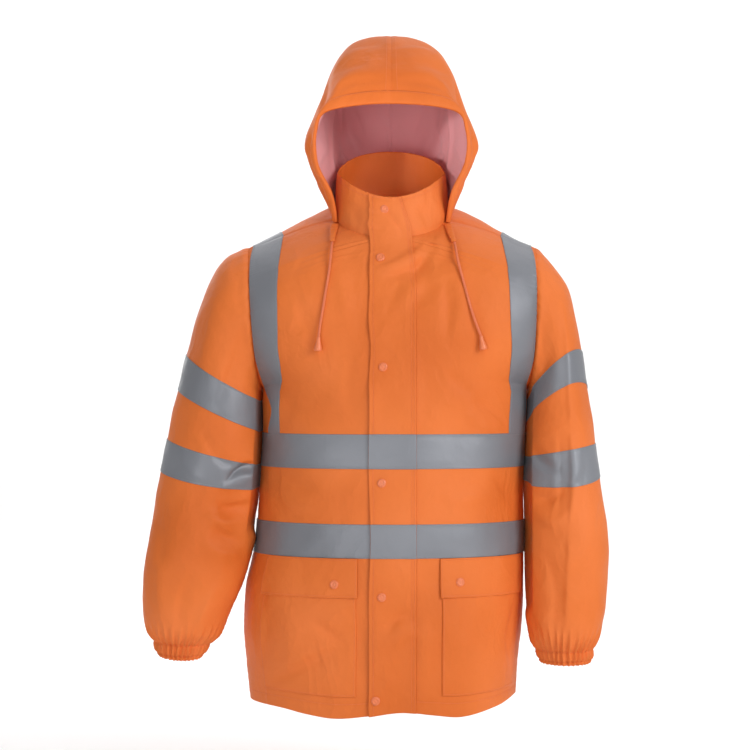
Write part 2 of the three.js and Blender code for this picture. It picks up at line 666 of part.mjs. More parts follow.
function sleeveSheets(side) {
  const flip = side > 0;
  const plain = Array.from({ length: gatherFrom + 1 }, (_, i) => i);
  const upper = gridSheet(plain.map((s) => armholeAngles.map((a) => sleevePoint(side, s, a))), { flip, round: true });
  const fine = armholeAngles.flatMap((a, i) => {
    const next = armholeAngles[i + 1] ?? 360;
    return Array.from({ length: pointsInGather }, (_, k) => lerp(a, next, k / pointsInGather));
  });
  const gathered = countUp(gatherFrom, sleeveSections, sleeveSections - gatherFrom);
  const lowerRings = gathered.map((s) => fine.map((a) => sleevePoint(side, s, a)));
  const lower = gridSheet(lowerRings, { flip, round: true });
  return joinSheets([upper, bridge(side, lowerRings[0], flip), lower]);
}

// The row of triangles between the last plain section and the first gathered one
function bridge(side, fineRing, flip) {
  const coarse = armholeAngles.map((a) => sleevePoint(side, gatherFrom, a));
  const points = [...coarse, ...fineRing];
  const faces = [];
  coarse.forEach((_, i) => {
    const next = (i + 1) % coarse.length;
    const foot = (k) => coarse.length + ((i * pointsInGather + k) % fineRing.length);
    for (let k = 0; k < pointsInGather; k += 1) faces.push([i, foot(k + 1), foot(k)]);
    faces.push([i, next, foot(pointsInGather)]);
  });
  return { points, faces: flip ? faces.map(([a, b, c]) => [a, c, b]) : faces };
}

// Collar: a band from the neck seam up, open at the centre front
function collarPoint(side, angle, height) {
  const foot = ringPoint(neck, angle);
  const top = ringPoint(collarTop, angle);
  const point = foot.lerp(top, height);
  const out = at(Math.sin(rad(angle)), -Math.cos(rad(angle)), 0);
  point.addScaledVector(out, collarSwell * Math.sin(Math.PI * height));
  return point.multiply(at(side, 1, 1));
}

const collarHeights = [0, 1 / 3, 2 / 3, 1];
const neckAngles = [0, ...countUp(0, neckAtSeam, neckCells.front), ...countUp(neckAtSeam, 180, neckCells.back)];

function collarSheet() {
  const roundNeck = [
    ...neckAngles.map((a) => [leftSide, a]),
    ...neckAngles.slice(0, -1).reverse().map((a) => [rightSide, a]),
  ];
  return gridSheet(collarHeights.map((h) => roundNeck.map(([side, a]) => collarPoint(side, a, h))));
}

// A point of the hood: section counts the arches from the face edge, share runs up the arch
function hoodPoint(side, section, share) {
  const arches = hood.map((row) => archOf(row));
  arches.push(napeArch());
  const points = arches[0].map((_, k) => smoothPoint(arches.map((arch) => arch[k]), section));
  const mirrored = points[points.length - 2].clone().multiply(at(-1, 1, 1));
  const point = smoothPoint([...points, mirrored], share * (points.length - 1));
  if (share === 1) point.x = 0;
  return point.multiply(at(side, 1, 1));
}

function archOf(row) {
  const foot = ringPoint(neck, row.base, hoodClearance).add(at(0, 0, hoodRaise));
  const crown = at(0, row.crownY, row.crownZ);
  const widths = [foot.x, row.jaw, row.cheek, row.temple, row.brow, 0];
  return widths.map((x, k) => {
    const h = hoodHeights[k];
    return at(x, lerp(foot.y, crown.y, h ** row.lean), lerp(foot.z, crown.z, h));
  });
}

// The last arch lies along the neck seam to the nape
function napeArch() {
  return hoodHeights.map((h) => ringPoint(neck, lerp(napeFrom, 180, h), hoodClearance).add(at(0, 0, hoodRaise)));
}

const hoodSpan = hood.length;
const hoodPlaces = Array.from({ length: archCount + 1 }, (_, i) => {
  const hemCells = 1;
  return i <= hemCells ? (hoodHemSections * i) / hemCells
    : lerp(hoodHemSections, hoodSpan, (i - hemCells) / (archCount - hemCells));
});

function hoodGrid(side, places) {
  const shares = Array.from({ length: archPoints + 1 }, (_, i) => i / archPoints);
  const rows = places.map((s) => shares.map((v) => hoodPoint(side, s, v)));
  return gridSheet(rows, { flip: side > 0 });
}

// The placket, from the hem up the front and on up the collar
const placketRight = 33;
const placketLeft = 36;
const placketLeftAtCollar = 14;
const placketTaperFrom = 1.7;

function acrossFront(distance, row) {
  const side = distance < 0 ? rightSide : leftSide;
  return pointAlong(measuredRow(side, "front", row), "front", Math.abs(distance), row, 0);
}

function placketPoint(share, row) {
  const taper = clamp((row - placketTaperFrom) / (3 - placketTaperFrom), 0, 1);
  const distance = lerp(-placketRight, lerp(placketLeft, placketLeftAtCollar, taper), share);
  if (row <= 2) return acrossFront(distance, row);
  const angle = THREE.MathUtils.radToDeg(Math.asin(Math.abs(distance) / neck.halfWidth));
  return collarPoint(distance < 0 ? rightSide : leftSide, angle, lerp(0.06, 0.97, row - 2));
}

const placketRows = [...lowerRows, ...countUp(1, 2, middleCells), 2.02, 2.35, 2.7, 3];
const placketShares = [0, 0.25, 0.5, 0.75, 1];

function placketGrid(fromRow = 0, toRow = 3) {
  const near = 1e-6;
  const rows = placketRows.filter((r) => r > fromRow - near && r < toRow + near);
  return gridSheet(rows.map((r) => placketShares.map((s) => placketPoint(s, r))));
}

// Sheets of the garment, from which the walls and what lies on them are made
const frontLeft = torsoGrid(leftSide, "front");
const frontRight = torsoGrid(rightSide, "front");
const back = joinSheets([torsoGrid(leftSide, "back"), torsoGrid(rightSide, "back")]);
const sleeves = { left: sleeveSheets(leftSide), right: sleeveSheets(rightSide) };
const garmentOut = outwardOf([frontLeft, frontRight, back, sleeves.left, sleeves.right]);
const collar = collarSheet();
const collarOut = outwardOf([collar]);
const hoodHalves = { left: hoodGrid(leftSide, hoodPlaces), right: hoodGrid(rightSide, hoodPlaces) };
const hoodOut = outwardOf([hoodHalves.left, hoodHalves.right]);
const placket = placketGrid();
const placketOut = outwardOf([placket]);

const jacket = new THREE.Group();
const add = (name, geometry, material) => {
  const mesh = new THREE.Mesh(geometry, material);
  mesh.name = name;
  jacket.add(mesh);
  return mesh;
};

add("front_left", wall(frontLeft, garmentOut), shell);
add("front_right", wall(frontRight, garmentOut), shell);
add("back", wall(back, garmentOut), shell);
for (const [name, sheet] of Object.entries(sleeves)) {
  add(`sleeve_${name}`, wall(sheet, garmentOut, { inset: sleeveInset }), shell);
}
add("collar", wall(collar, collarOut, { inset: seamGap }), shell);
for (const [name, side] of Object.entries({ left: leftSide, right: rightSide })) {
  add(`hood_${name}`, wall(hoodHalves[name], hoodOut), shell);
  const inside = { lift: -clothThickness - liningGap, thickness: liningThickness, inset: liningInset };
  add(`hood_lining_${name}`, wall(hoodGrid(side, hoodPlaces.slice(0, -1)), hoodOut, inside), liningCloth);
}
const hoodHemPlaces = hoodPlaces.filter((s) => s <= hoodHemSections);
const hoodHem = joinSheets([hoodGrid(leftSide, hoodHemPlaces), hoodGrid(rightSide, hoodHemPlaces)]);
add("hood_hem", wall(hoodHem, hoodOut, { lift: seamGap + clothThickness }), shell);

add("placket", wall(placket, placketOut, { lift: flapLift + clothThickness }), shell);

// Reflective hoops round the body, open under the placket, and short lengths across it
const onCloth = { thickness: tapeThickness, lift: seamGap + tapeThickness };
for (const [name, [foot, head]] of Object.entries({ lower: lowerHoop, upper: upperHoop })) {
  const rows = [rowAt(foot), rowAt(head)];
  const parts = [leftSide, rightSide].flatMap((side) => [
    torsoGrid(side, "front", 1, columns, ...rows),
    torsoGrid(side, "back", 0, columns, ...rows),
  ]);
  add(`hoop_${name}`, wall(joinSheets(parts), garmentOut, onCloth), reflective);
  const acrossPlacket = { thickness: tapeThickness, lift: flapLift + clothThickness + seamGap + tapeThickness };
  add(`placket_tape_${name}`, wall(placketGrid(...rows), placketOut, acrossPlacket), reflective);
}

// Reflective braces over the shoulders, from the upper hoop in front to the one behind
for (const [name, side] of Object.entries({ left: leftSide, right: rightSide })) {
  const parts = ["front", "back"].map((face) => torsoGrid(side, face, braceInner, braceOuter, rowAt(upperHoop[1]), 3));
  add(`brace_${name}`, wall(joinSheets(parts), garmentOut, onCloth), reflective);
  for (const tape of sleeveTapes) {
    const rings = [tape.from, tape.to].map((s) => armholeAngles.map((a) => sleevePoint(side, s, a)));
    const band = gridSheet(rings, { flip: side > 0, round: true });
    add(`sleeve_tape_${name}_${tape.name}`, wall(band, garmentOut, onCloth), reflective);
  }
}

// Patch pockets and their flaps
const pocketInset = 3;
const flapStand = 1;
const pocketFlapLift = 2 * (seamGap + clothThickness) + flapStand;
for (const [name, side] of Object.entries({ left: leftSide, right: rightSide })) {
  const outerColumn = pocketOuterColumn[name];
  const bag = torsoGrid(side, "front", pocketColumn, outerColumn, rowAt(pocketFoot), rowAt(pocketHead));
  add(`pocket_${name}`, wall(bag, garmentOut, { lift: seamGap + clothThickness, inset: pocketInset }), shell);
  const flap = torsoGrid(side, "front", pocketColumn, outerColumn, rowAt(flapFoot), rowAt(lowerHoop[0]));
  add(`pocket_flap_${name}`, wall(flap, garmentOut, { lift: pocketFlapLift }), shell);
}

// Tails of the hood's channel
function tailGeometry(rows) {
  const path = rows.map((r) => at(r.x, r.y, r.z));
  const rings = rows.map((row, i) => {
    const along = path[Math.min(i + 1, path.length - 1)].clone().sub(path[Math.max(i - 1, 0)]).normalize();
    const across = along.clone().cross(tailOut).normalize();
    const out = across.clone().cross(along);
    return Array.from({ length: tailSides }, (_, k) => {
      const a = (2 * Math.PI * k) / tailSides;
      return path[i].clone()
        .addScaledVector(across, (row.width / 2) * Math.cos(a))
        .addScaledVector(out, (row.thickness / 2) * Math.sin(a));
    });
  });
  return closedTube(rings);
}

// A tube through rings of points, closed by a fan at each end
function closedTube(rings) {
  const { points, faces } = gridSheet(rings, { round: true, flip: true });
  const sides = rings[0].length;
  const ends = [rings[0], rings[rings.length - 1]].map((ring) => {
    const middle = ring.reduce((sum, p) => sum.add(p), at(0, 0, 0)).divideScalar(sides);
    return points.push(middle) - 1;
  });
  for (let k = 0; k < sides; k += 1) {
    const next = (k + 1) % sides;
    const last = (rings.length - 1) * sides;
    faces.push([ends[0], k, next], [ends[1], last + next, last + k]);
  }
  return geometryOf(points, faces);
}

function cordGeometry(route) {
  const path = new THREE.CatmullRomCurve3(route.map((r) => at(r.x, r.y, r.z)), false, "centripetal");
  const section = new THREE.Shape(Array.from({ length: cordSides }, (_, k) => {
    const a = (2 * Math.PI * k) / cordSides;
    return new THREE.Vector2(Math.cos(a), Math.sin(a)).multiplyScalar(cordDiameter / 2);
  }));
  return new THREE.ExtrudeGeometry(section, { extrudePath: path, steps: cordSteps, bevelEnabled: false });
}

// Turns a lathe's profile about a line that leaves a point in a direction
function turned(profile, sides, point, direction) {
  const outline = profile.map(({ radius, height }) => new THREE.Vector2(radius, height));
  const geometry = new THREE.LatheGeometry(outline, sides);
  const turn = new THREE.Quaternion().setFromUnitVectors(at(0, 1, 0), direction.clone().normalize());
  return geometry.applyQuaternion(turn).translate(point.x, point.y, point.z);
}

function bellGeometry(route) {
  const [before, last] = route.slice(-2).map((r) => at(r.x, r.y, r.z));
  const along = last.clone().sub(before).normalize().lerp(at(0, 0, -1), 0.5).normalize();
  const start = last.clone().addScaledVector(along, 2 * seamGap);
  return turned([
    { radius: 0, height: 0 },
    { radius: bell.topRadius, height: 0 },
    { radius: bell.waistRadius, height: bell.length * 0.35 },
    { radius: bell.footRadius, height: bell.length * 0.8 },
    { radius: bell.footRadius * 0.8, height: bell.length },
    { radius: 0, height: bell.length },
  ], bell.sides, start, along);
}

for (const [name, rows] of Object.entries(tails)) add(`hood_tail_${name}`, tailGeometry(rows), shell);
for (const [name, route] of Object.entries(cordRoutes)) {
  add(`cord_${name}`, cordGeometry(route), cordBraid);
  add(`cord_end_${name}`, bellGeometry(route), snapPlastic);
}

// Snaps
const nearby = 4;

// The direction out of a surface at a place given by a distance across and a row
function outOf(surface, distance, row) {
  const step = 0.01;
  const across = surface(distance + nearby, row).sub(surface(distance - nearby, row));
  return across.cross(surface(distance, row + step).sub(surface(distance, row - step))).normalize();
}

function snapOn(surface, distance, row, lift) {
  const out = outOf(surface, distance, row);
  const point = surface(distance, row).addScaledVector(out, lift + snapClearance);
  return turned(snapProfile, snapSides, point, out);
}

// The placket's outer surface, by distance from the centre line
function onPlacket(distance, row) {
  if (row <= 2) return acrossFront(distance, row);
  const angle = THREE.MathUtils.radToDeg(Math.asin(Math.abs(distance) / neck.halfWidth));
  return collarPoint(distance < 0 ? rightSide : leftSide, angle, row - 2);
}

function rowOfHeight(z) {
  if (z <= armpitZ) return rowAt(z);
  const neckZ = neck.centreZ - neck.rise;
  if (z <= neckZ) return 1 + (z - armpitZ) / (neckZ - armpitZ);
  return 2 + (z - neckZ) / (collarTop.centreZ - collarTop.rise - neckZ);
}

placketSnaps.forEach(({ x, z }, i) => {
  add(`snap_${i + 1}`, snapOn(onPlacket, x, rowOfHeight(z), flapLift + clothThickness), snapPlastic);
});
for (const [name, side] of Object.entries({ left: leftSide, right: rightSide })) {
  const { distance, z } = pocketSnaps[name];
  const snap = snapOn(acrossFront, side * distance, rowOfHeight(z), pocketFlapLift);
  add(`pocket_snap_${name}`, snap, snapPlastic);
}

export default jacket;
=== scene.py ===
# Hi-vis work jacket with its hood up, hollow and filled out as if worn.
# Tables are in millimetres, in the frame of the CAD part: front to -Y, the wearer's left to +X.
import math
import bpy
import bmesh
import numpy as np
from mathutils import Matrix, Vector


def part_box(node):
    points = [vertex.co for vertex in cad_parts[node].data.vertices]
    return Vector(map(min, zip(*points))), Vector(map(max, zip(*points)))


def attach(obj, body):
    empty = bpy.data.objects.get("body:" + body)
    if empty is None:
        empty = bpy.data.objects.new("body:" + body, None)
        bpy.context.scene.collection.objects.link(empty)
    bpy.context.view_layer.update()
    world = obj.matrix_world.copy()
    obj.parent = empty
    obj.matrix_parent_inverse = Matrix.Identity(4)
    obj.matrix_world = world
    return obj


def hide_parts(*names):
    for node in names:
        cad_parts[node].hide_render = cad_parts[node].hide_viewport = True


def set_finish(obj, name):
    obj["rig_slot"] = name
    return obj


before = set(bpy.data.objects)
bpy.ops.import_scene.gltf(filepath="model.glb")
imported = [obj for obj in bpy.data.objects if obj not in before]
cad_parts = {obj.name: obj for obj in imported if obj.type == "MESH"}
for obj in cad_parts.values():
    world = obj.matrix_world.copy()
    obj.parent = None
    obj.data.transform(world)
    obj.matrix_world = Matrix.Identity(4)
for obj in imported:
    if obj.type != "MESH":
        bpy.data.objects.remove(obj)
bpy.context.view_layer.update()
bpy.ops.object.select_all(action="DESELECT")
mm = 0.001
leftSide, rightSide = 1, -1
sides = {"left": leftSide, "right": rightSide}


def table(names, *rows):
    return {name: np.array([row[i] for row in rows], float) for i, name in enumerate(names.split())}


def mix(a, b, share):
    return a + (b - a) * share


def ease(value, start, end):
    share = np.clip((value - start) / (end - start), 0, 1)
    return share * share * (3 - 2 * share)


def unit(vectors):
    return vectors / np.maximum(np.linalg.norm(vectors, axis=-1, keepdims=True), 1e-12)


def bump(along, across, length, width):
    return np.exp(-((along / length) ** 2) - (across / width) ** 2)


# Camera and room

camera = {"place": (-25, -3200, -245), "focalPixels": 2051.28, "imagePixels": 750, "sensor": 36}
room = {
    "floorHeight": -900,
    "floorColour": (0.93, 0.93, 0.93, 1),
    "floorFront": -4.5,
    "halfWidth": 6,
    "wallY": 3.8,
    "wallHeight": 4,
    "bendRadius": 0.8,
    "worldStrength": 0.42,
    "lights": {  # power, place, size, target, spread in degrees
        "keyLight": (66, (2.3, -2.5, 0.9), 1.6, (0, 0, -0.3), 180),
        "frontLight": (21, (-1.0, -3.3, -0.45), 0.85, (0, 0, -0.1), 180),
        "hoodLight": (0.036, (-0.85, -0.95, 0.16), 0.12, (0.06, 0, 0.13), 12),
        "topLight": (10, (0.2, 0.2, 2.4), 2.0, (0, 0, 0), 180),
        "rearLight": (20, (-1.4, 2.7, 0.9), 1.8, (0, 0, -0.3), 180),
        "backdropLight": (60, (0, 1.4, 1.9), 3.0, (0, 3.2, 0), 180),
    },
}


def makeCamera():
    lens = camera["focalPixels"] * camera["sensor"] / camera["imagePixels"]
    data = bpy.data.cameras.new("studioCamera")
    data.sensor_width = camera["sensor"]
    data.lens = lens
    eye = bpy.data.objects.new("studioCamera", data)
    eye.location = Vector(camera["place"]) * mm
    eye.rotation_euler = (math.radians(90), 0, 0)
    bpy.context.collection.objects.link(eye)
    bpy.context.scene.camera = eye


def makeLight(name, power, place, size, target, spread):
    data = bpy.data.lights.new(name, "AREA")
    data.energy = power
    data.size = size
    data.spread = math.radians(spread)
    lamp = bpy.data.objects.new(name, data)
    lamp.location = place
    lamp.rotation_euler = (Vector(target) - Vector(place)).to_track_quat("-Z", "Y").to_euler()
    bpy.context.collection.objects.link(lamp)


def makeRoom():
    scene = bpy.context.scene
    scene.view_settings.view_transform = "Standard"
    scene.world = bpy.data.worlds.new("studio")
    scene.world.use_nodes = True
    sky = scene.world.node_tree.nodes["Background"]
    sky.inputs["Color"].default_value = (1, 1, 1, 1)
    sky.inputs["Strength"].default_value = room["worldStrength"]
    for name, values in room["lights"].items():
        makeLight(name, *values)
    floorZ = room["floorHeight"] * mm
    bend, wallY, halfWidth = room["bendRadius"], room["wallY"], room["halfWidth"]
    turn = [(wallY - bend + bend * math.sin(a), floorZ + bend - bend * math.cos(a))
            for a in np.linspace(0, math.pi / 2, 13)]
    line = [(room["floorFront"], floorZ)] + turn + [(wallY, floorZ + room["wallHeight"])]
    points = [(x, y, z) for y, z in line for x in (-halfWidth, halfWidth)]
    faces = [(2 * i, 2 * i + 1, 2 * i + 3, 2 * i + 2) for i in range(len(line) - 1)]
    mesh = bpy.data.meshes.new("floor")
    mesh.from_pydata(points, [], faces)
    for face in mesh.polygons:
        face.use_smooth = True
    floor = bpy.data.objects.new("floor", mesh)
    bpy.context.collection.objects.link(floor)
    paint = bpy.data.materials.new("floorPaint")
    paint.use_nodes = True
    shader = paint.node_tree.nodes["Principled BSDF"]
    shader.inputs["Base Color"].default_value = room["floorColour"]
    shader.inputs["Roughness"].default_value = 0.9
    mesh.materials.append(paint)


makeCamera()
makeRoom()
print("stage 1: camera and room are in place")

# The body's cloth, from the sections that the CAD part is cut from. Its rows count 0 at the hem, 1 at the
# armpit, 2 at the neck and 3 at the shoulder seam, and its columns 0 at the middle and 10 at the side.

torso = table(
    "z halfLeft halfRight front back",
    (-748, 193, 218, 142, 136), (-700, 195, 224, 148, 142), (-640, 199, 227, 151, 146),
    (-570, 203, 222, 150, 145), (-510, 203, 208, 147, 142), (-440, 201, 200, 144, 138),
    (-360, 203, 196, 141, 135), (-262, 211, 197, 135, 130), (-150, 212, 199, 125, 126),
    (-85, 212, 199, 108, 113), (-36, 212, 199, 88, 98), (42, 212, 199, 60, 72),
)
hemWave = table(
    "x rise", (-214, 3), (-170, 1), (-132, -5), (-85, -10), (-39, -6), (15, 0), (65, -5), (105, -9),
    (157, 1), (190, 11),
)
braceEdge = table("row inset", (0, 33), (1, 29), (1.25, 14), (1.5, 3), (2.3, 3), (3, 8))
body = {
    "sidePlaneY": -4, "hemZ": -748, "armpitZ": -262, "roundness": 0.6, "hemWaveReach": 0.14,
    "tapeWidth": 50, "underPlacket": 24, "pocketInner": {leftSide: 73, rightSide: 51},
    "pocketOuter": {leftSide: 8, rightSide: 6}, "braceInner": 6, "braceOuter": 9, "columns": 10,
    "pocketFoot": -724, "pocketHead": -545, "flapFoot": -577, "turns": {1: 0.12, 2: 0.2},
    "hoops": {"lower": (-518, -468), "upper": (-385, -334)}, "shoulderRow": 3,
    "braceGapRows": 0.0006, "flapGapRows": 0.0008,
}
bodyCloth = {
    "grain": 3.4, "meanRowMm": 330, "yokeRowMm": 100, "meanHalf": (210, 145), "foldFadeColumns": 2.5,
    "foldFadeRows": 0.5, "seamSoft": 14, "seamDip": 0.9, "seamWidth": 2.6, "hemStitchRow": 0.026,
}
yoke = {
    "pitTurn": 90, "neckTurn": 34, "turnPower": 0.7, "drop": 0.3, "leaveReach": 0.4, "arriveReach": 0.28,
    "pitDepth": 135, "straighter": 0.35, "straighterAtSeam": 0.2, "straighterArrival": 0.5,
}
rowMm = body["armpitZ"] - body["hemZ"]
armhole = {"topZ": -47, "depth": 84, "topX": {leftSide: 224, rightSide: 221},
           "atPit": 118, "atSeam": 166, "atNape": 130}
neck = {"halfWidth": 87, "centreY": -12, "halfDepth": 80, "centreZ": 3, "rise": 39, "dip": 1, "atSeam": 78}
collarTop = {"halfWidth": 84, "centreY": -8, "halfDepth": 73, "centreZ": 68, "rise": 42, "dip": 1.8,
             "swell": 2, "height": 66}
thick = {"cloth": 1.4, "lining": 1.0, "tape": 0.7, "gap": 0.3, "flapLift": 1.4}

# The torso's large folds, as in the CAD part: face, x, z, turn, length, width, depth
largeFolds = [
    ("front", 62, -92, 58, 60, 15, -5), ("front", 35, -118, 38, 46, 14, 4),
    ("front", 96, -330, 15, 70, 30, -3), ("front", -120, -300, -20, 80, 28, -3),
    ("front", -95, -650, 28, 95, 26, -5), ("front", 20, -672, 80, 60, 22, -4),
    ("front", 112, -660, -60, 80, 26, 4), ("back", -70, -300, -30, 110, 30, -6),
    ("back", 85, -270, 35, 100, 28, -5), ("back", 10, -560, 82, 120, 34, -6),
    ("back", -120, -620, 70, 90, 26, -4), ("back", 130, -600, -75, 90, 26, -4),
]


def smoothColumn(rows, key, along, place):
    x, v = rows[along], rows[key]
    last = len(x) - 1
    index = np.arange(last + 1)
    before, after = np.maximum(index - 1, 0), np.minimum(index + 1, last)
    slope = (v[after] - v[before]) / (x[after] - x[before])
    i = np.clip(np.searchsorted(x, place) - 1, 0, last - 1)
    span = x[i + 1] - x[i]
    t = np.clip((place - x[i]) / span, 0, 1)
    return ((2 * t**3 - 3 * t**2 + 1) * v[i] + (t**3 - 2 * t**2 + t) * span * slope[i]
            + (3 * t**2 - 2 * t**3) * v[i + 1] + (t**3 - t**2) * span * slope[i + 1])


def smoothPoints(points, places):
    # points on the smooth curve through a list of points (or of arrays of points), by their places
    line = [np.asarray(p, float) for p in points]
    line = np.array([2 * line[0] - line[1]] + line + [2 * line[-1] - line[-2]])
    places = np.asarray(places, float)
    i = np.clip(np.floor(places).astype(int), 0, len(line) - 4)
    t = (places - i).reshape(places.shape + (1,) * (line.ndim - 1))
    a, b, c, d = line[i], line[i + 1], line[i + 2], line[i + 3]
    return 0.5 * (2 * b + (c - a) * t + (2 * a - 5 * b + 4 * c - d) * t**2 + (3 * b - a - 3 * c + d) * t**3)


def ringPoint(ring, angle, out=0):
    a = np.radians(angle)
    drop = np.where(np.cos(a) > 0, np.abs(np.cos(a)) ** ring["dip"], np.cos(a))
    return np.stack([(ring["halfWidth"] + out) * np.sin(a),
                     ring["centreY"] - (ring["halfDepth"] + out) * np.cos(a),
                     ring["centreZ"] - ring["rise"] * drop], -1)


def armholePoint(side, angle):
    a = np.radians(angle)
    foot = smoothColumn(torso, "halfLeft" if side > 0 else "halfRight", "z", body["armpitZ"])
    middle, half = (armhole["topZ"] + body["armpitZ"]) / 2, (armhole["topZ"] - body["armpitZ"]) / 2
    return np.stack([side * (foot + (armhole["topX"][side] - foot) * np.abs(np.sin(a / 2))),
                     body["sidePlaneY"] - armhole["depth"] * np.sin(a), middle - half * np.cos(a)], -1)


def bezier(curve, t):
    t = np.asarray(t, float)[..., None]
    return (curve[0] * (1 - t) ** 3 + 3 * curve[1] * (1 - t) ** 2 * t + 3 * curve[2] * (1 - t) * t**2
            + curve[3] * t**3)


def plainCurve(side, face, row):
    front = face == "front"
    toFace = -1 if front else 1
    neckAngle = lambda share: neck["atSeam"] * share if front else mix(180, neck["atSeam"], share)
    atNeck = armhole["atPit"] if front else armhole["atNape"]
    atSeam = armhole["atSeam"] if front else 360 - armhole["atSeam"]
    onArmhole = lambda angle: armholePoint(side, angle if front else 360 - angle)
    middle = lambda z: np.array([0, body["sidePlaneY"] + toFace * smoothColumn(torso, face, "z", z), z])
    if row <= 1:
        z = mix(body["hemZ"], body["armpitZ"], row)
        half = smoothColumn(torso, "halfLeft" if side > 0 else "halfRight", "z", z)
        depth = smoothColumn(torso, face, "z", z)
        start, end = middle(z), np.array([side * half, body["sidePlaneY"], z])
        return [start, start + [side * half * body["roundness"], 0, 0],
                end + [0, toFace * depth * body["roundness"], 0], end]
    share = row - (1 if row <= 2 else 2)
    if row <= 2:
        neckZ = ringPoint(neck, neckAngle(0))[2]
        start, end = middle(mix(body["armpitZ"], neckZ, share)), onArmhole(atNeck * share)
    else:
        start = ringPoint(neck, neckAngle(share)) * [side, 1, 1]
        end = onArmhole(mix(atNeck, atSeam, share))
    chord = end - start
    reach = np.linalg.norm(chord)
    leave = np.array([side, 0, 0.0])
    lengths = (reach * yoke["leaveReach"], reach * yoke["arriveReach"])
    if row <= 2:
        turned = math.radians(mix(yoke["pitTurn"], yoke["neckTurn"], share ** yoke["turnPower"]))
        arrive = np.array([side * math.cos(turned), -toFace * math.sin(turned), -yoke["drop"] * share])
        lengths = (mix(abs(chord[0]) * body["roundness"], lengths[0], share),
                   mix(yoke["pitDepth"] * body["roundness"], lengths[1], share))
    else:
        turned = math.radians(mix(yoke["neckTurn"], 0, share))
        arrive = np.array([side * math.cos(turned), -toFace * math.sin(turned), -yoke["drop"]])
        leave = mix(leave, chord / reach, yoke["straighter"] + yoke["straighterAtSeam"] * share)
        arrive = mix(arrive, chord / reach, yoke["straighterArrival"] * share)
    return [start, start + unit(leave) * lengths[0], end - unit(arrive) * lengths[1], end]


def rowCurve(side, face, row):
    # near rows 1 and 2 the curve bends like the mean of its neighbours, so the cloth turns softly there
    curve = np.array(plainCurve(side, face, row))
    for turn, widest in body["turns"].items():
        reach = widest - abs(row - turn) * 0.8
        if reach > 0.02:
            around = [np.array(plainCurve(side, face, row + reach * s)) for s in (-1, -0.5, 0.5, 1)]
            mean = (around[0] + around[3]) * 0.15 + (around[1] + around[2]) * 0.23 + curve * 0.24
            curve[1:3] = mean[1:3]
    return curve


def columnPlaces(side, face, row, length):
    outer = length - smoothColumn(braceEdge, "inset", "row", row)
    inner = outer - body["tapeWidth"]
    pocket = body["pocketInner"][side]
    last = body["braceInner"]
    places = [0, body["underPlacket"], pocket]
    places += [mix(pocket, inner, (c - 2) / (last - 2)) for c in range(3, last)]
    places += [inner, mix(inner, outer, 1 / 3), mix(inner, outer, 2 / 3), outer, length]
    if row > 2 or face == "back":
        share = 1 if face == "back" else np.clip((row - 2) * 3, 0, 1)
        for c in range(1, last):
            places[c] = mix(places[c], inner * c / last, share)
    return places


# Where a sleeve rests on the body both are pressed flat against a line. It leans in towards the back, so
# that no light shows through. The body bulges out to it, by depth, z and half height.
restLine = {
    leftSide: table("z x", (-618, 206), (-450, 206), (-330, 207), (-300, 209), (-262, 211)),
    rightSide: table("z x", (-500, 215), (-450, 209), (-410, 204.5), (-340, 201), (-262, 199.5)),
}
rest = {"gap": 1.1, "slope": -0.16, "middleY": -14, "slopeReach": 45, "fadeBelow": 30, "fadeAbove": 9,
        "bulge": {leftSide: (5.5, -440, 200), rightSide: (6.5, -420, 165)}}


def pressed(points, side, toBody):
    # toBody is 1 for the sleeve, which stays outside the line, and -1 for the body inside it
    line, z, reach = restLine[side], points[..., 2], rest["slopeReach"]
    foot, head = line["z"][0], line["z"][-1]
    inRange = ease(z, foot, foot + rest["fadeBelow"]) * (1 - ease(z, head - rest["fadeAbove"], head))
    target = smoothColumn(line, "x", "z", np.clip(z, foot, head)) + toBody * rest["gap"]
    target = target + rest["slope"] * np.clip(points[..., 1] - rest["middleY"], -reach, reach)
    past = np.maximum(toBody * (target - side * points[..., 0]), 0)
    pressedPoints = points.copy()
    pressedPoints[..., 0] += side * toBody * past * inRange
    return pressedPoints


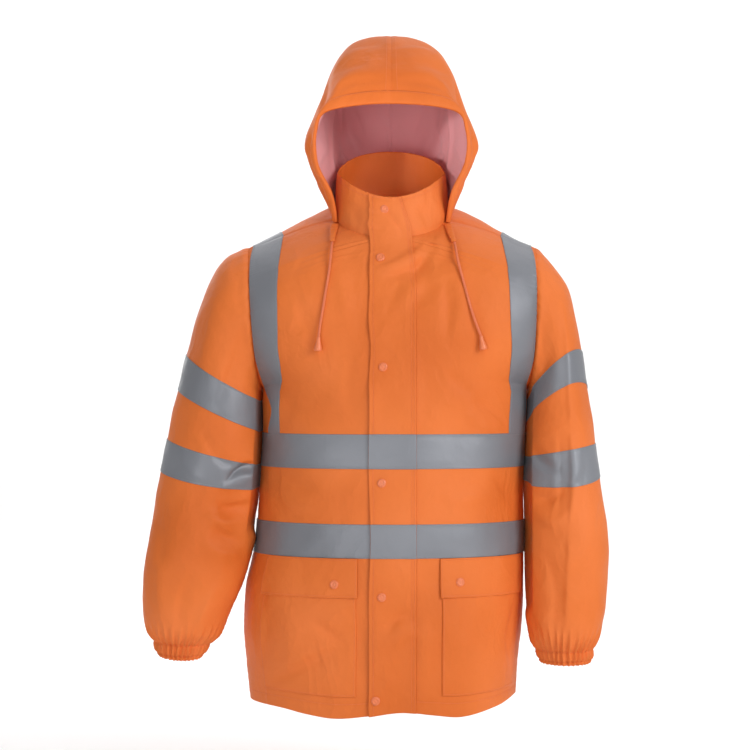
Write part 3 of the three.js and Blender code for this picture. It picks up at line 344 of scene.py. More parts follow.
# Creases pressed into the cloth. Each runs through points (x, z) as seen from the front, is at its
# deepest half way along, and dies away at both ends: a hollow where depth is below 0.
creases = {}
creases["front"] = [
    ([(54, -40), (36, -60), (8, -77), (-26, -88)], 2.6, 7),
    ([(58, -56), (42, -78), (14, -92), (-14, -98)], -2.6, 8), ([(50, -64), (40, -84), (30, -104)], -2.4, 9),
    ([(76, -46), (66, -76), (60, -110)], 1.8, 10), ([(14, -104), (4, -128), (-10, -158)], -1.7, 11),
    ([(-12, 2), (2, -12), (18, -28)], 1.5, 5), ([(78, -95), (84, -140), (80, -190)], -2.0, 10),
    ([(100, -100), (98, -150), (92, -205)], 1.6, 11), ([(120, -275), (146, -298), (172, -312)], -2.4, 8),
    ([(112, -300), (140, -322), (170, -326)], 2.0, 12), ([(-9, -632), (12, -606), (46, -616)], -2.6, 8),
    ([(2, -650), (22, -630), (52, -640)], 1.8, 9), ([(-122, -612), (-98, -628), (-74, -644)], -2.6, 7),
    ([(-184, -700), (-130, -664), (-78, -644)], 2.4, 8),
    ([(-190, -716), (-140, -686), (-88, -664)], -1.8, 9),
    ([(-150, -120), (-128, -170), (-118, -228)], -1.6, 12),
    ([(-86, -84), (-74, -120), (-70, -160)], 1.4, 12), ([(-60, -210), (-66, -262), (-58, -310)], -1.2, 10),
    ([(-184, -392), (-150, -410), (-108, -420)], -1.8, 10),
    ([(-192, -430), (-150, -440), (-96, -446)], 1.6, 10), ([(150, -392), (172, -420), (190, -436)], -2.0, 9),
    ([(60, -420), (100, -432), (150, -428)], 1.2, 12), ([(188, -590), (176, -640), (182, -700)], -2.2, 9),
    ([(60, -600), (66, -650), (58, -716)], -1.4, 9), ([(40, -590), (46, -640), (40, -700)], 1.2, 10),
    ([(-206, -560), (-188, -620), (-196, -690)], -2.2, 10),
    ([(-40, -560), (-48, -640), (-44, -730)], -1.2, 9),
    ([(-160, -590), (-150, -640), (-160, -700)], 1.5, 12),
    ([(130, -120), (142, -180), (140, -250)], 1.3, 13), ([(40, -200), (52, -262), (46, -320)], -1.2, 12),
    ([(-30, -250), (-36, -300), (-30, -350)], 1.0, 10), ([(84, -236), (100, -262), (128, -276)], -1.4, 8),
    ([(-192, -250), (-178, -296), (-188, -344)], 2.6, 8), ([(-60, -40), (-52, -110), (-44, -190)], -2.2, 26),
]
creases["back"] = [
    ([(-90, -40), (-40, -66), (6, -76)], -3.0, 8), ([(90, -44), (48, -70), (2, -84)], -2.6, 8),
    ([(-160, -150), (-120, -210), (-96, -290)], -3.2, 11),
    ([(150, -140), (126, -210), (104, -270)], -3.0, 11), ([(-60, -130), (-64, -200), (-52, -280)], 2.2, 14),
    ([(30, -120), (40, -190), (34, -270)], -2.0, 12), ([(-150, -400), (-60, -424), (40, -414)], -2.6, 12),
    ([(-20, -432), (70, -446), (150, -430)], 2.2, 12), ([(-180, -560), (-100, -548), (-20, -566)], -3.0, 11),
    ([(0, -600), (80, -584), (170, -606)], -2.8, 11), ([(-110, -600), (-96, -660), (-104, -730)], 2.4, 12),
    ([(40, -600), (52, -670), (44, -740)], -2.4, 11), ([(120, -640), (130, -690), (126, -744)], 2.0, 10),
    ([(-30, -640), (-36, -690), (-30, -744)], -2.0, 10),
    ([(-190, -300), (-180, -360), (-186, -420)], -2.0, 10),
    ([(196, -300), (182, -350), (190, -420)], -2.0, 10),
]
creases["right"] = [
    ([(-196, -378), (-226, -386), (-254, -414)], -7.0, 8),
    ([(-204, -396), (-232, -400), (-262, -420)], 5.0, 9),
    ([(-206, -440), (-236, -448), (-262, -442)], -6.0, 9),
    ([(-222, -464), (-252, -468), (-280, -452)], 4.0, 8),
    ([(-226, -498), (-252, -488), (-270, -470)], -4.4, 8),
    ([(-232, -520), (-262, -512), (-288, -494)], 3.0, 9),
    ([(-290, -330), (-262, -372), (-236, -384)], -3.0, 9),
    ([(-330, -360), (-300, -392), (-270, -404)], 2.0, 12),
    ([(-222, -170), (-240, -230), (-262, -290)], -2.6, 12),
    ([(-262, -120), (-280, -190), (-292, -250)], 2.0, 14),
    ([(-300, -540), (-320, -590), (-318, -640)], -2.2, 10),
    ([(-350, -520), (-352, -580), (-342, -640)], 1.8, 12),
    ([(-262, -560), (-284, -600), (-296, -646)], 2.4, 9),
    ([(-370, -440), (-352, -490), (-348, -540)], -1.8, 12),
]
creases["left"] = [
    ([(262, -140), (268, -240), (270, -330)], 2.6, 6), ([(270, -330), (274, -400), (268, -470)], 3.6, 6),
    ([(268, -470), (264, -560), (262, -640)], 2.2, 7), ([(254, -330), (256, -400), (250, -470)], -3.0, 10),
    ([(288, -330), (292, -400), (286, -470)], -2.4, 10), ([(214, -350), (226, -380), (256, -392)], -4.4, 8),
    ([(208, -424), (232, -436), (262, -420)], -4.0, 9), ([(214, -452), (240, -468), (266, -452)], 3.0, 9),
    ([(300, -380), (276, -410), (250, -414)], -2.6, 9), ([(230, -520), (246, -570), (244, -640)], -2.6, 10),
    ([(300, -500), (292, -570), (290, -650)], -2.2, 10), ([(222, -150), (232, -210), (226, -280)], -2.4, 11),
    ([(316, -560), (306, -610), (300, -650)], 1.6, 9), ([(218, -600), (232, -630), (240, -660)], 2.4, 8),
]
creases["rightBack"] = [([(x * 1.02, z - 14) for x, z in line], depth * 0.9, width * 1.2)
                        for line, depth, width in creases["right"][::2]]
creases["leftBack"] = [([(x * 1.02, z + 18) for x, z in line], depth * 0.9, width * 1.2)
                       for line, depth, width in creases["left"][::2]]
creaseStrength = {"front": 1.6, "back": 2.0, "right": 1.35, "left": 1.25, "rightBack": 1.6, "leftBack": 1.6,
                  "collar": 1.6, "hood": 1.5, "lining": 1.0}
creaseShape = {"bends": 9, "crispSide": 0.72, "softSide": 1.5, "fadePower": 0.8, "tipWidth": 0.55,
               "edgePower": 1.8}


def creaseDepth(x, z, name):
    # how far the creases of one list move the cloth at (x, z): each is narrow on its crisp side, which is
    # on the right hand of its line, and wide on its soft side
    total = np.zeros_like(x)
    for line, depth, width in creases[name]:
        places = np.linspace(0, len(line) - 1, creaseShape["bends"])
        bends = smoothPoints([(px, 0, pz) for px, pz in line], places)[:, [0, 2]]
        best, place, wide = np.full_like(x, 1e9), np.zeros_like(x), np.full_like(x, width)
        for k in range(len(bends) - 1):
            a, b = bends[k], bends[k + 1]
            d = b - a
            share = np.clip(((x - a[0]) * d[0] + (z - a[1]) * d[1]) / (d @ d), 0, 1)
            far = np.hypot(x - a[0] - share * d[0], z - a[1] - share * d[1])
            turn = (d[0] * (z - a[1]) - d[1] * (x - a[0])) / math.sqrt(d @ d)
            nearer = far < best
            best = np.where(nearer, far, best)
            place = np.where(nearer, (k + share) / (len(bends) - 1), place)
            softness = ease(turn, -0.5 * width, 0.5 * width)
            wide = np.where(nearer, width * mix(creaseShape["crispSide"], creaseShape["softSide"], softness),
                            wide)
        fade = np.sin(np.pi * np.clip(place, 0, 1)) ** creaseShape["fadePower"]
        reach = wide * mix(creaseShape["tipWidth"], 1, fade)
        total += depth * fade * np.exp(-((best / reach) ** creaseShape["edgePower"]))
    return total * creaseStrength[name]


def unevenness(points, size, seed):
    # slow waves over the cloth in nine directions drawn by chance, the same on each run
    chance = np.random.default_rng(seed)
    total = np.zeros(points.shape[:-1])
    for k in range(9):
        reach = size * (0.6 + 1.1 * chance.random())
        way = chance.normal(size=3)
        way /= np.linalg.norm(way)
        total += np.sin(points @ way * 2 * math.pi / reach + 6.28 * chance.random()) * reach / size
    return total / 4.5


def pucker(distance, along, height, spacing, reach):
    # short ripples that a row of stitches draws up beside it
    beat = along * 2 * math.pi / spacing
    ripple = np.sin(beat + 1.3 * np.sin(beat * 0.31)) + 0.6 * np.sin(beat * 0.53 + 1.1)
    return height * np.exp(-np.abs(distance) / reach) * ripple


def runOf(line):
    # distance along a line of points, from 0 at its start
    return np.concatenate([[0], np.cumsum(np.linalg.norm(np.diff(line, axis=0), axis=1))])


def normalsOf(points, sign, closed=False):
    across = np.roll(points, -1, 1) - np.roll(points, 1, 1) if closed else np.gradient(points, axis=1)
    return unit(np.cross(across, np.gradient(points, axis=0))) * sign


def torsoCloth(side, face, rows, placesOf):
    # points and normals of the front's or back's outer surface, one row of points for each place in rows
    steps = np.linspace(0, 1, 33)
    turn = side * (1 if face == "front" else -1)
    grid, columns, spans, lengthsAll = [], [], [], []
    for row in rows:
        curve = rowCurve(side, face, row)
        walk = bezier(curve, steps)
        lengths = runOf(walk)
        places = columnPlaces(side, face, row, lengths[-1])
        at = placesOf(row, places)
        grid.append(bezier(curve, np.interp(at, lengths, steps)))
        columns.append(np.interp(at, places, range(len(places))))
        spans.append(at)
        lengthsAll.append(np.full(len(at), lengths[-1]))
    points, columns, spans, whole = np.array(grid), np.array(columns), np.array(spans), np.array(lengthsAll)
    rowOf = np.repeat(np.asarray(rows, float)[:, None], points.shape[1], 1)
    x, z = points[..., 0].copy(), points[..., 2].copy()
    low = np.clip(1 - rowOf / body["hemWaveReach"], 0, 1) ** 2
    points[..., 2] += low * smoothColumn(hemWave, "rise", "x", np.clip(x, hemWave["x"][0], hemWave["x"][-1]))
    normals = normalsOf(points, turn)
    rowsLeft = body["shoulderRow"] - rowOf
    fade = np.clip((body["columns"] - columns) / bodyCloth["foldFadeColumns"], 0, 1)
    fade *= np.clip(rowsLeft / bodyCloth["foldFadeRows"], 0, 1)
    depth = np.zeros_like(x)
    for where, fx, fz, degrees, length, width, height in largeFolds:
        if where == face:
            c, s = math.cos(math.radians(degrees)), math.sin(math.radians(degrees))
            depth += height * bump((x - fx) * c + (z - fz) * s, (z - fz) * c - (x - fx) * s, length, width)
    halfX, halfY = bodyCloth["meanHalf"]
    out = unit(np.stack([x / halfX**2, (points[..., 1] - body["sidePlaneY"]) / halfY**2, 0 * x], -1))
    points += out * (depth * fade)[..., None]
    fromSeam = whole - spans
    fromShoulder = rowsLeft * bodyCloth["yokeRowMm"]
    soft = ease(fromSeam, 0, bodyCloth["seamSoft"]) * ease(fromShoulder, 0, bodyCloth["seamSoft"])
    fine = creaseDepth(x, z, face) + 1.1 * unevenness(points, 90, 5) + 0.35 * unevenness(points, 34, 8)
    seamWidth = bodyCloth["seamWidth"]
    seams = -bodyCloth["seamDip"] * (bump(fromSeam, 0, seamWidth, 1) + bump(fromShoulder, 0, seamWidth, 1))
    ripples = pucker(fromSeam, rowOf * rowMm, 0.5, 13, 7)
    ripples += pucker((rowOf - bodyCloth["hemStitchRow"]) * rowMm, spans, 0.45, 12, 6)
    points += normals * (fine * soft + seams + ripples)[..., None]
    height, middle, half = rest["bulge"][side]
    points[..., 0] += side * height * bump(points[..., 2] - middle, 0, half, 1) * ease(spans / whole, 0.7, 1)
    points = pressed(points, side, -1)
    return points, normalsOf(points, turn)


# Turning grids of points into pieces of cloth

def spacedPlaces(first, last, count, edges=(0.0, 0.7, 2.0), span=1.0):
    # places from first to last: closer together beside both ends, and even between
    near = [e for e in edges if e * 2 < abs(last - first) / span]
    way = 1 if last > first else -1
    head = [first + way * e * span for e in near]
    tail = [last - way * e * span for e in reversed(near)]
    inside = np.linspace(head[-1], tail[0], max(count, 2) + 1)[1:-1]
    return np.array(head + list(inside) + tail)


def clothGrid(side, face, fromColumn, toColumn, fromRow, toRow, inset=0.15):
    # the part of a panel between two columns and two rows, its edges moved in by inset millimetres
    rowCount = int((toRow - fromRow) * bodyCloth["meanRowMm"] / bodyCloth["grain"])
    rows = spacedPlaces(fromRow + inset / rowMm, toRow - inset / rowMm, rowCount, span=1 / rowMm)
    columnCount = 60 if toColumn - fromColumn > 6 else int((toColumn - fromColumn) * 7)

    def placesOf(row, places):
        start = np.interp(fromColumn, range(len(places)), places)
        end = np.interp(toColumn, range(len(places)), places)
        head = inset if fromColumn > 0 else 0
        return spacedPlaces(start + head, end - inset, columnCount)

    return torsoCloth(side, face, rows, placesOf)


def rimOf(shape, closed):
    h, w = shape
    cell = lambda r, c: r * w + c % w
    if closed:
        return [[cell(0, c) for c in range(w)], [cell(h - 1, c) for c in reversed(range(w))]]
    return [[cell(0, c) for c in range(w)] + [cell(r, w - 1) for r in range(1, h)]
            + [cell(h - 1, c) for c in reversed(range(w - 1))]
            + [cell(r, 0) for r in reversed(range(1, h - 1))]]


def metreMap(points, closed):
    across = np.linalg.norm(np.diff(points, axis=1), axis=2)
    up = np.linalg.norm(np.diff(points, axis=0), axis=2)
    u = np.concatenate([np.zeros((len(points), 1)), np.cumsum(across, 1)], 1)
    v = np.concatenate([np.zeros((1, points.shape[1])), np.cumsum(up, 0)], 0)
    if not closed:
        u -= u[:, -1:] / 2
    return u * mm, v * mm


def newPiece(name, vertices, faces, maps=None):
    mesh = bpy.data.meshes.new(name)
    mesh.from_pydata([tuple(v) for v in np.asarray(vertices) * mm], [], faces)
    if maps is not None:
        layer = mesh.uv_layers.new(name="cloth")
        corners = np.zeros(len(mesh.loops), int)
        mesh.loops.foreach_get("vertex_index", corners)
        layer.data.foreach_set("uv", np.asarray(maps)[corners].astype(np.float32).ravel())
    mesh.polygons.foreach_set("use_smooth", [True] * len(mesh.polygons))
    mesh.update()
    piece = bpy.data.objects.new(name, mesh)
    bpy.context.collection.objects.link(piece)
    return piece


def wallPiece(name, points, normals, thickness, lift=0.0, closed=False, flip=False, roundRim=0.42):
    # a sheet with a thickness inwards, its rim rounded over
    h, w = points.shape[:2]
    u, v = metreMap(points, closed)
    outer = (points + normals * lift).reshape(-1, 3)
    inward = normals.reshape(-1, 3) * thickness
    inner = outer - inward
    flatMap = np.stack([u.ravel(), v.ravel()], -1)
    count = h * w
    cells = [(r * w + c, r * w + (c + 1) % w, (r + 1) * w + (c + 1) % w, (r + 1) * w + c)
             for r in range(h - 1) for c in range(w if closed else w - 1)]
    middles, middleMaps, rimFaces = [], [], []
    grid = outer.reshape(h, w, 3)
    for rim in rimOf((h, w), closed):
        first = 2 * count + len(middles)
        for k, i in enumerate(rim):
            r, c = divmod(i, w)
            away = np.zeros(3)
            if r in (0, h - 1):
                away += unit(grid[r, c] - grid[1 if r == 0 else h - 2, c])
            if not closed and c in (0, w - 1):
                away += unit(grid[r, c] - grid[r, 1 if c == 0 else w - 2])
            middles.append(outer[i] - inward[i] / 2 + away * thickness * roundRim)
            middleMaps.append(flatMap[i])
            j = rim[(k + 1) % len(rim)]
            a, b = first + k, first + (k + 1) % len(rim)
            rimFaces += [(j, i, a, b), (b, a, i + count, j + count)]
    faces = cells + [(d + count, c + count, b + count, a + count) for a, b, c, d in cells] + rimFaces
    if flip:
        faces = [tuple(reversed(face)) for face in faces]
    vertices = np.concatenate([outer, inner, np.array(middles)])
    return newPiece(name, vertices, faces, np.concatenate([flatMap, flatMap, np.array(middleMaps)]))


def joined(*parts):
    # grids laid side by side, each a pair of points and normals that ends where the next starts
    points = np.concatenate([parts[0][0]] + [p[0][:, 1:] for p in parts[1:]], 1)
    normals = np.concatenate([parts[0][1]] + [p[1][:, 1:] for p in parts[1:]], 1)
    return points, unit(normals)


def turnedRound(part):
    return part[0][:, ::-1], part[1][:, ::-1]


pieces = {}
stitchLines = {"shell": [], "tape": []}
sinks = {"cloth": 0.4, "doubled": 0.3, "tape": 0.25}  # how deep the thread draws each kind of cloth in
sheetFacts = []
hosts = {}  # surfaces that carry snaps


def rowAt(z):
    return (z - body["hemZ"]) / rowMm


def addCloth(piece, slotName, nodes, held="hung", rests=("collar",)):
    pieces[piece.name] = piece
    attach(piece, "root")
    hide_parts(*nodes)
    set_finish(piece, slotName)
    sheetFacts.append((piece.name, held, rests))


def markRows(points, normals, lift, rows, kind, closed=False, sink=0.0):
    # rows of a grid that carry a line of stitches
    for r in rows:
        line = points[r] + normals[r] * lift
        stitchLines[kind].append((np.concatenate([line, line[:1]]) if closed else line,
                                  np.concatenate([normals[r], normals[r][:1]]) if closed else normals[r]))
        points[r] -= normals[r] * sink


def markColumns(points, normals, lift, columns, kind, rows=slice(None)):
    for c in columns:
        stitchLines[kind].append((points[rows, c] + normals[rows, c] * lift, normals[rows, c]))


stitched = {"hemRow": 5, "shoulderRow": -5, "armholeColumn": -4, "firstArmholeRow": 143}
wholeHalf = (0, body["columns"], 0, body["shoulderRow"])
crossRows = [stitched["hemRow"], stitched["shoulderRow"]]

for name, side in sides.items():
    points, normals = clothGrid(side, "front", *wholeHalf)
    markRows(points, normals, 0, crossRows, "shell", sink=sinks["cloth"])
    markColumns(points, normals, 0, [stitched["armholeColumn"]], "shell",
                rows=slice(stitched["firstArmholeRow"], None))
    piece = wallPiece(f"front_{name}_cloth", points, normals, thick["cloth"], flip=side < 0)
    addCloth(piece, "shell", [f"front_{name}"])
halves = {side: clothGrid(side, "back", *wholeHalf) for side in (leftSide, rightSide)}
points, normals = joined(turnedRound(halves[rightSide]), halves[leftSide])
markRows(points, normals, 0, crossRows, "shell", sink=sinks["cloth"])
piece = wallPiece("back_cloth", points, normals, thick["cloth"], flip=True)
addCloth(piece, "shell", ["back"])
print("stage 2: fronts and back are cut")

# Sleeves, by sections from the shoulder down, as in the CAD part

sleeveTable = {
    rightSide: table(
        "outerX outerZ innerX innerZ lift frontY backY",
        (259, -64, 200, -266, 0, -90, 80), (285, -106, 200, -271, 0, -92, 77),
        (302, -156, 200, -276, -4, -92, 74), (317, -213, 199, -283, -7, -92, 70),
        (330, -267, 200, -330, -6, -93, 62), (340, -306, 200, -357, -4, -94, 57),
        (347, -342, 202, -381, -6, -95, 52), (356, -391, 205, -417, -9, -97, 47),
        (366, -445, 211, -466, -4, -100, 42), (376, -506, 223, -520, 0, -102, 36),
        (382, -562, 236, -570, 0, -103, 30), (382, -605, 250, -610, 0, -102, 24),
        (376, -636, 262, -641, 0, -97, 16), (364, -653, 280, -658, -1, -86, 2),
        (362, -664, 286, -669, -3, -82, -4), (355, -674, 294, -678, -4, -78, -10),
    ),
    leftSide: table(
        "outerX outerZ innerX innerZ lift frontY backY",
        (246, -68, 213, -268, 2, -90, 80), (274, -106, 212, -273, 7, -92, 77),
        (286, -155, 211, -278, 17, -92, 74), (296, -217, 210, -285, 29, -92, 70),
        (303, -267, 209, -318, 27, -95, 60), (310, -310, 207, -343, 14, -100, 52),
        (315, -350, 206, -370, 0, -104, 44), (322, -398, 205, -408, -12, -110, 36),
        (327, -451, 206, -456, -4, -116, 30), (333, -512, 207, -517, 0, -120, 24),
        (332, -566, 207, -567, 0, -120, 18), (327, -610, 210, -607, 0, -118, 12),
        (319, -642, 217, -644, 0, -112, 4), (308, -664, 226, -664, -1, -100, -12),
        (307, -675, 228, -675, -2, -96, -18), (302, -684, 232, -684, -2, -92, -24),
    ),
}
# side, section, angle, sections, degrees, depth
sleeveFolds = [
    (rightSide, 8.6, 50, 1.3, 34, -9), (rightSide, 7.2, 30, 0.9, 26, 5), (rightSide, 3.2, 72, 1.4, 22, -4),
    (rightSide, 9, 230, 1.6, 34, -7), (rightSide, 8.5, 4, 3.4, 38, 10), (leftSide, 9.5, 356, 4.6, 38, 10),
    (leftSide, 7.4, 118, 3.2, 17, 4), (leftSide, 8.4, 62, 2.2, 30, -8),
    (leftSide, 3.2, 70, 1.4, 22, -4), (leftSide, 8.6, 235, 1.6, 34, -7),
]
sleeve = {"firstPlace": 0.004, "lastPlace": 15.996, "rows": 180, "span": 0.024, "angles": 192, "gathers": 31,
          "gatherDepth": 2.5, "gatherFrom": 12.2, "channelFrom": 14.0, "channelTo": 15.4,
          "tapes": {"upper": (4, 5), "lower": (7, 8)}, "tapeRows": 14, "tapeSpan": 0.02}
sleeveSeam = {"dip": 1.0, "width": 2.8, "roll": 1.6, "rollAt": 8, "rollWidth": 7, "channelDip": 1.8,
              "channelWidth": 0.16, "underDip": 0.8, "underWidth": 2.6, "degreeMm": 1.3, "sectionMm": 42}


def sleeveSections(side, angles):
    rows = sleeveTable[side]
    a = np.radians(angles)
    share = (1 - np.cos(a)) / 2
    sections = [armholePoint(side, angles)]
    for k in range(len(rows["lift"])):
        row = {key: values[k] for key, values in rows.items()}
        sections.append(np.stack([
            side * mix(row["innerX"], row["outerX"], share),
            (row["frontY"] + row["backY"]) / 2 - (row["backY"] - row["frontY"]) / 2 * np.sin(a),
            mix(row["innerZ"], row["outerZ"], share) + row["lift"] * np.maximum(0, np.sin(a)),
        ], -1))
    return sections


def sleeveCloth(side, places):
    angles = np.arange(sleeve["angles"]) * 360 / sleeve["angles"]
    places = np.asarray(places, float)
    points = smoothPoints(sleeveSections(side, angles), places)
    opposite = smoothPoints(sleeveSections(side, angles + 180), places)
    at, around = places[:, None], angles[None, :]
    depth = np.zeros(points.shape[:2])
    for which, section, angle, sections, degrees, height in sleeveFolds:
        if which == side:
            depth += height * bump(at - section, (around - angle + 540) % 360 - 180, sections, degrees)
    x, z = points[..., 0], points[..., 2]
    name = "left" if side > 0 else "right"
    toFront = ease(np.sin(np.radians(around)), -0.15, 0.25)
    loose = ease(at, 0.15, 1.1) * ease(15.5 - at, 0, 2)
    fine = creaseDepth(x, z, name) * toFront + creaseDepth(x, z, name + "Back") * (1 - toFront)
    fine = fine + 1.3 * unevenness(points, 84, 21 + side) + 0.4 * unevenness(points, 30, 31 + side)
    gathered = ease(at, sleeve["gatherFrom"], sleeve["channelFrom"] - 0.3)
    beat = np.radians(around) * sleeve["gathers"]
    uneven = 0.7 * np.sin(np.radians(around) * 5 + side) + 0.5 * np.sin(np.radians(around) * 9 + at)
    swell = np.cos(beat + uneven) + 0.45 * np.cos(beat * 2 + 2.2 * uneven + 0.8)
    depth = depth * np.clip(at, 0, 1) + fine * loose + sleeve["gatherDepth"] * gathered * swell
    for seam in (sleeve["channelFrom"], sleeve["channelTo"]):
        dip = sleeveSeam["channelDip"] * bump(at - seam, 0, sleeveSeam["channelWidth"], 1)
        depth -= dip * ease(at, 13, 13.6)
    steps = np.linalg.norm(np.diff(points, axis=0), axis=2)
    fromSeam = np.concatenate([np.zeros((1, len(angles))), np.cumsum(steps, 0)], 0)
    if places[0] < 0.2:  # the sleeve's own cloth dips into the armhole seam and rolls up beside it
        depth -= sleeveSeam["dip"] * bump(fromSeam, 0, sleeveSeam["width"], 1)
        depth += sleeveSeam["roll"] * bump(fromSeam - sleeveSeam["rollAt"], 0, sleeveSeam["rollWidth"], 1)
        depth += pucker(fromSeam, around * 1.5, 0.7, 15, 10)
    under = np.minimum(angles, 360 - angles)[None, :] * sleeveSeam["degreeMm"]
    depth -= sleeveSeam["underDip"] * bump(under, 0, sleeveSeam["underWidth"], 1)
    depth += pucker(under, at * sleeveSeam["sectionMm"], 0.4, 14, 7)
    points = pressed(points + unit(points - opposite) * depth[..., None], side, 1)
    return points, normalsOf(points, -side, closed=True)


onTape = thick["gap"] + thick["tape"]
for name, side in sides.items():
    places = spacedPlaces(sleeve["firstPlace"], sleeve["lastPlace"], sleeve["rows"], span=sleeve["span"])
    grid = sleeveCloth(side, places)
    seamRows = [int(np.argmin(abs(places - sleeve[key]))) for key in ("channelFrom", "channelTo")]
    markRows(*grid, 0, seamRows, "shell", closed=True)
    piece = wallPiece(f"sleeve_{name}_cloth", *grid, thick["cloth"], closed=True, flip=side > 0)
    addCloth(piece, "shell", [f"sleeve_{name}"], rests=(f"front_{name}", "back"))
    for tapeName, (first, last) in sleeve["tapes"].items():
        rows = spacedPlaces(first, last, sleeve["tapeRows"], span=sleeve["tapeSpan"])
        grid = sleeveCloth(side, rows)
        markRows(*grid, onTape, [2, len(rows) - 3], "tape", closed=True, sink=sinks["tape"])
        piece = wallPiece(f"sleeve_{name}_{tapeName}_tape", *grid, thick["tape"], lift=onTape, closed=True,
                          flip=side > 0)
        addCloth(piece, "reflective_tape", [f"sleeve_tape_{name}_{tapeName}"], "laid", (f"sleeve_{name}",))
print("stage 3: sleeves and their tapes are on")

# Collar and storm flap

creases["collar"] = [
    ([(-16, 12), (0, -6), (24, -32)], -2.2, 4), ([(-8, 0), (10, -12), (30, -22)], 1.4, 6),
    ([(36, 14), (50, -4), (58, -26)], -1.4, 8), ([(-66, 16), (-56, -2), (-50, -26)], -1.4, 8),
    ([(62, 30), (72, 6), (76, -12)], 1.2, 8),
]


def collarCloth(angles, heights):
    # angles count round from the front, below 0 on the wearer's right
    a = np.radians(angles)
    foot, top = ringPoint(neck, angles), ringPoint(collarTop, angles)
    points = mix(foot, top, heights[..., None])
    out = np.stack([np.sin(a), -np.cos(a), 0 * a], -1)
    points = points + out * (collarTop["swell"] * np.sin(math.pi * heights))[..., None]
    x, z = points[..., 0], points[..., 2]
    depth = creaseDepth(x, z, "collar") * (np.cos(a) > 0) + 1.5 * unevenness(points, 74, 44)
    depth *= ease(heights, -0.02, 0.2)
    depth += pucker((1 - heights) * collarTop["height"], a * collarTop["halfWidth"], 0.55, 12, 8)
    depth -= 0.8 * bump(heights * collarTop["height"], 0, 2.5, 1)
    return points + out * depth[..., None]


def collarPiece():
    heights = spacedPlaces(-0.03, 0.995, 18, edges=(0.0, 0.8, 6.0), span=1 / collarTop["height"])
    angles = np.linspace(0.2, 359.8, 170)
    turn = np.where(angles > 180, angles - 360, angles)
    points = collarCloth(np.repeat(turn[None], len(heights), 0), np.repeat(heights[:, None], len(turn), 1))
    normals = normalsOf(points, 1)
    markRows(points, normals, 0, [len(heights) - 3], "shell", sink=sinks["cloth"])
    piece = wallPiece("collar_cloth", points - normals * 0.2, normals, 2.0, roundRim=0.5)
    addCloth(piece, "shell", ["collar"], rests=("back",))


placket = {"right": 33, "left": 36, "leftAtCollar": 14, "taperFrom": 1.7, "thickness": 1.3, "columns": 22,
           "smoothing": 60, "bodyRows": (0.0006, 1.99), "collarRows": (2.03, 3.0), "stitchSink": 0.35}


def placketCloth(rows):
    edges = np.array([0.0, 0.8, 2.4, 6.0]) / placket["right"]
    half = np.concatenate([edges, np.linspace(edges[-1], 1, placket["columns"] // 2)[1:]])
    taper = np.clip((rows - placket["taperFrom"]) / (3 - placket["taperFrom"]), 0, 1)
    leftEdge = mix(placket["left"], placket["leftAtCollar"], taper)
    wave = 1.1 * np.sin(rows * 9.1) + 0.8 * np.sin(rows * 17 + 2)
    rightPart = -(placket["right"] + wave[:, None] * (1 - half)[None] ** 2) * (1 - half)[None]
    leftPart = leftEdge[:, None] * (1 - half[::-1])[None]
    distances = np.concatenate([rightPart, leftPart[:, 1:]], 1)
    shares = (distances[0] - distances[0, 0]) / (distances[0, -1] - distances[0, 0])
    low, middle = rows <= 2, len(half) - 1
    grid = np.zeros(distances.shape + (3,))
    for side, columns in ((rightSide, slice(middle, None, -1)), (leftSide, slice(middle, None))):
        mine = np.abs(distances[:, columns])
        placesOf = lambda row, _: mine[np.searchsorted(rows, row)]
        grid[low, columns] = torsoCloth(side, "front", rows[low], placesOf)[0]
    if not low.all():
        high = distances[~low]
        angles = np.degrees(np.arcsin(high / neck["halfWidth"]))
        heights = np.repeat(mix(0.06, 0.97, rows[~low] - 2)[:, None], high.shape[1], 1)
        grid[~low] = collarCloth(angles, heights)
        nearSeam = (bump(rows - 2.02, 0, 0.09, 1) * 0.5)[1:-1, None, None]
        for _ in range(placket["smoothing"]):
            grid[1:-1] += nearSeam * ((grid[:-2] + grid[2:]) / 2 - grid[1:-1])
    return grid, normalsOf(grid, 1), shares


def placketLift(rows, shares):
    # how far the flap stands off the fronts: sewn down at one edge, free and a little wavy at the other
    free = (1 - shares)[None] ** 2
    wave = 0.9 + 0.7 * np.sin(rows * 14.3 + 0.8) + 0.5 * np.sin(rows * 31 + 2)
    return thick["flapLift"] + thick["cloth"] + free * wave[:, None] * 0.9


def makePlacket():
    rows = np.concatenate([spacedPlaces(*placket["bodyRows"], 190, span=1 / rowMm),
                           spacedPlaces(*placket["collarRows"], 18, span=1 / collarTop["height"])])
    grid, normals, shares = placketCloth(rows)
    raised = grid + normals * placketLift(rows, shares)[..., None]
    stitchedColumns = [3, len(shares) - 3, len(shares) - 4]
    markColumns(raised, normals, 0, stitchedColumns, "shell")
    raised[:, stitchedColumns] -= normals[:, stitchedColumns] * placket["stitchSink"]
    markRows(raised, normals, 0, [len(rows) - 3], "shell", sink=sinks["doubled"])
    hosts["placket"] = (raised, normalsOf(raised, 1))
    piece = wallPiece("placket_cloth", raised, normalsOf(raised, 1), placket["thickness"], roundRim=0.5)
    addCloth(piece, "shell", ["placket"], rests=("front_left", "front_right"))
    for name, (foot, head) in body["hoops"].items():
        rows = spacedPlaces(rowAt(foot), rowAt(head), 15, span=1 / rowMm)
        grid, normals, shares = placketCloth(rows)
        raised = grid + normals * (placketLift(rows, shares) + thick["gap"] + thick["tape"])[..., None]
        markRows(raised, normals, 0, [2, len(rows) - 3], "tape", sink=sinks["tape"])
        piece = wallPiece(f"placket_{name}_tape", raised, normals, thick["tape"])
        addCloth(piece, "reflective_tape", [f"placket_tape_{name}"], "laid", ("placket",))


collarPiece()
makePlacket()
print("stage 4: collar and storm flap are on")

# Reflective tapes on the body

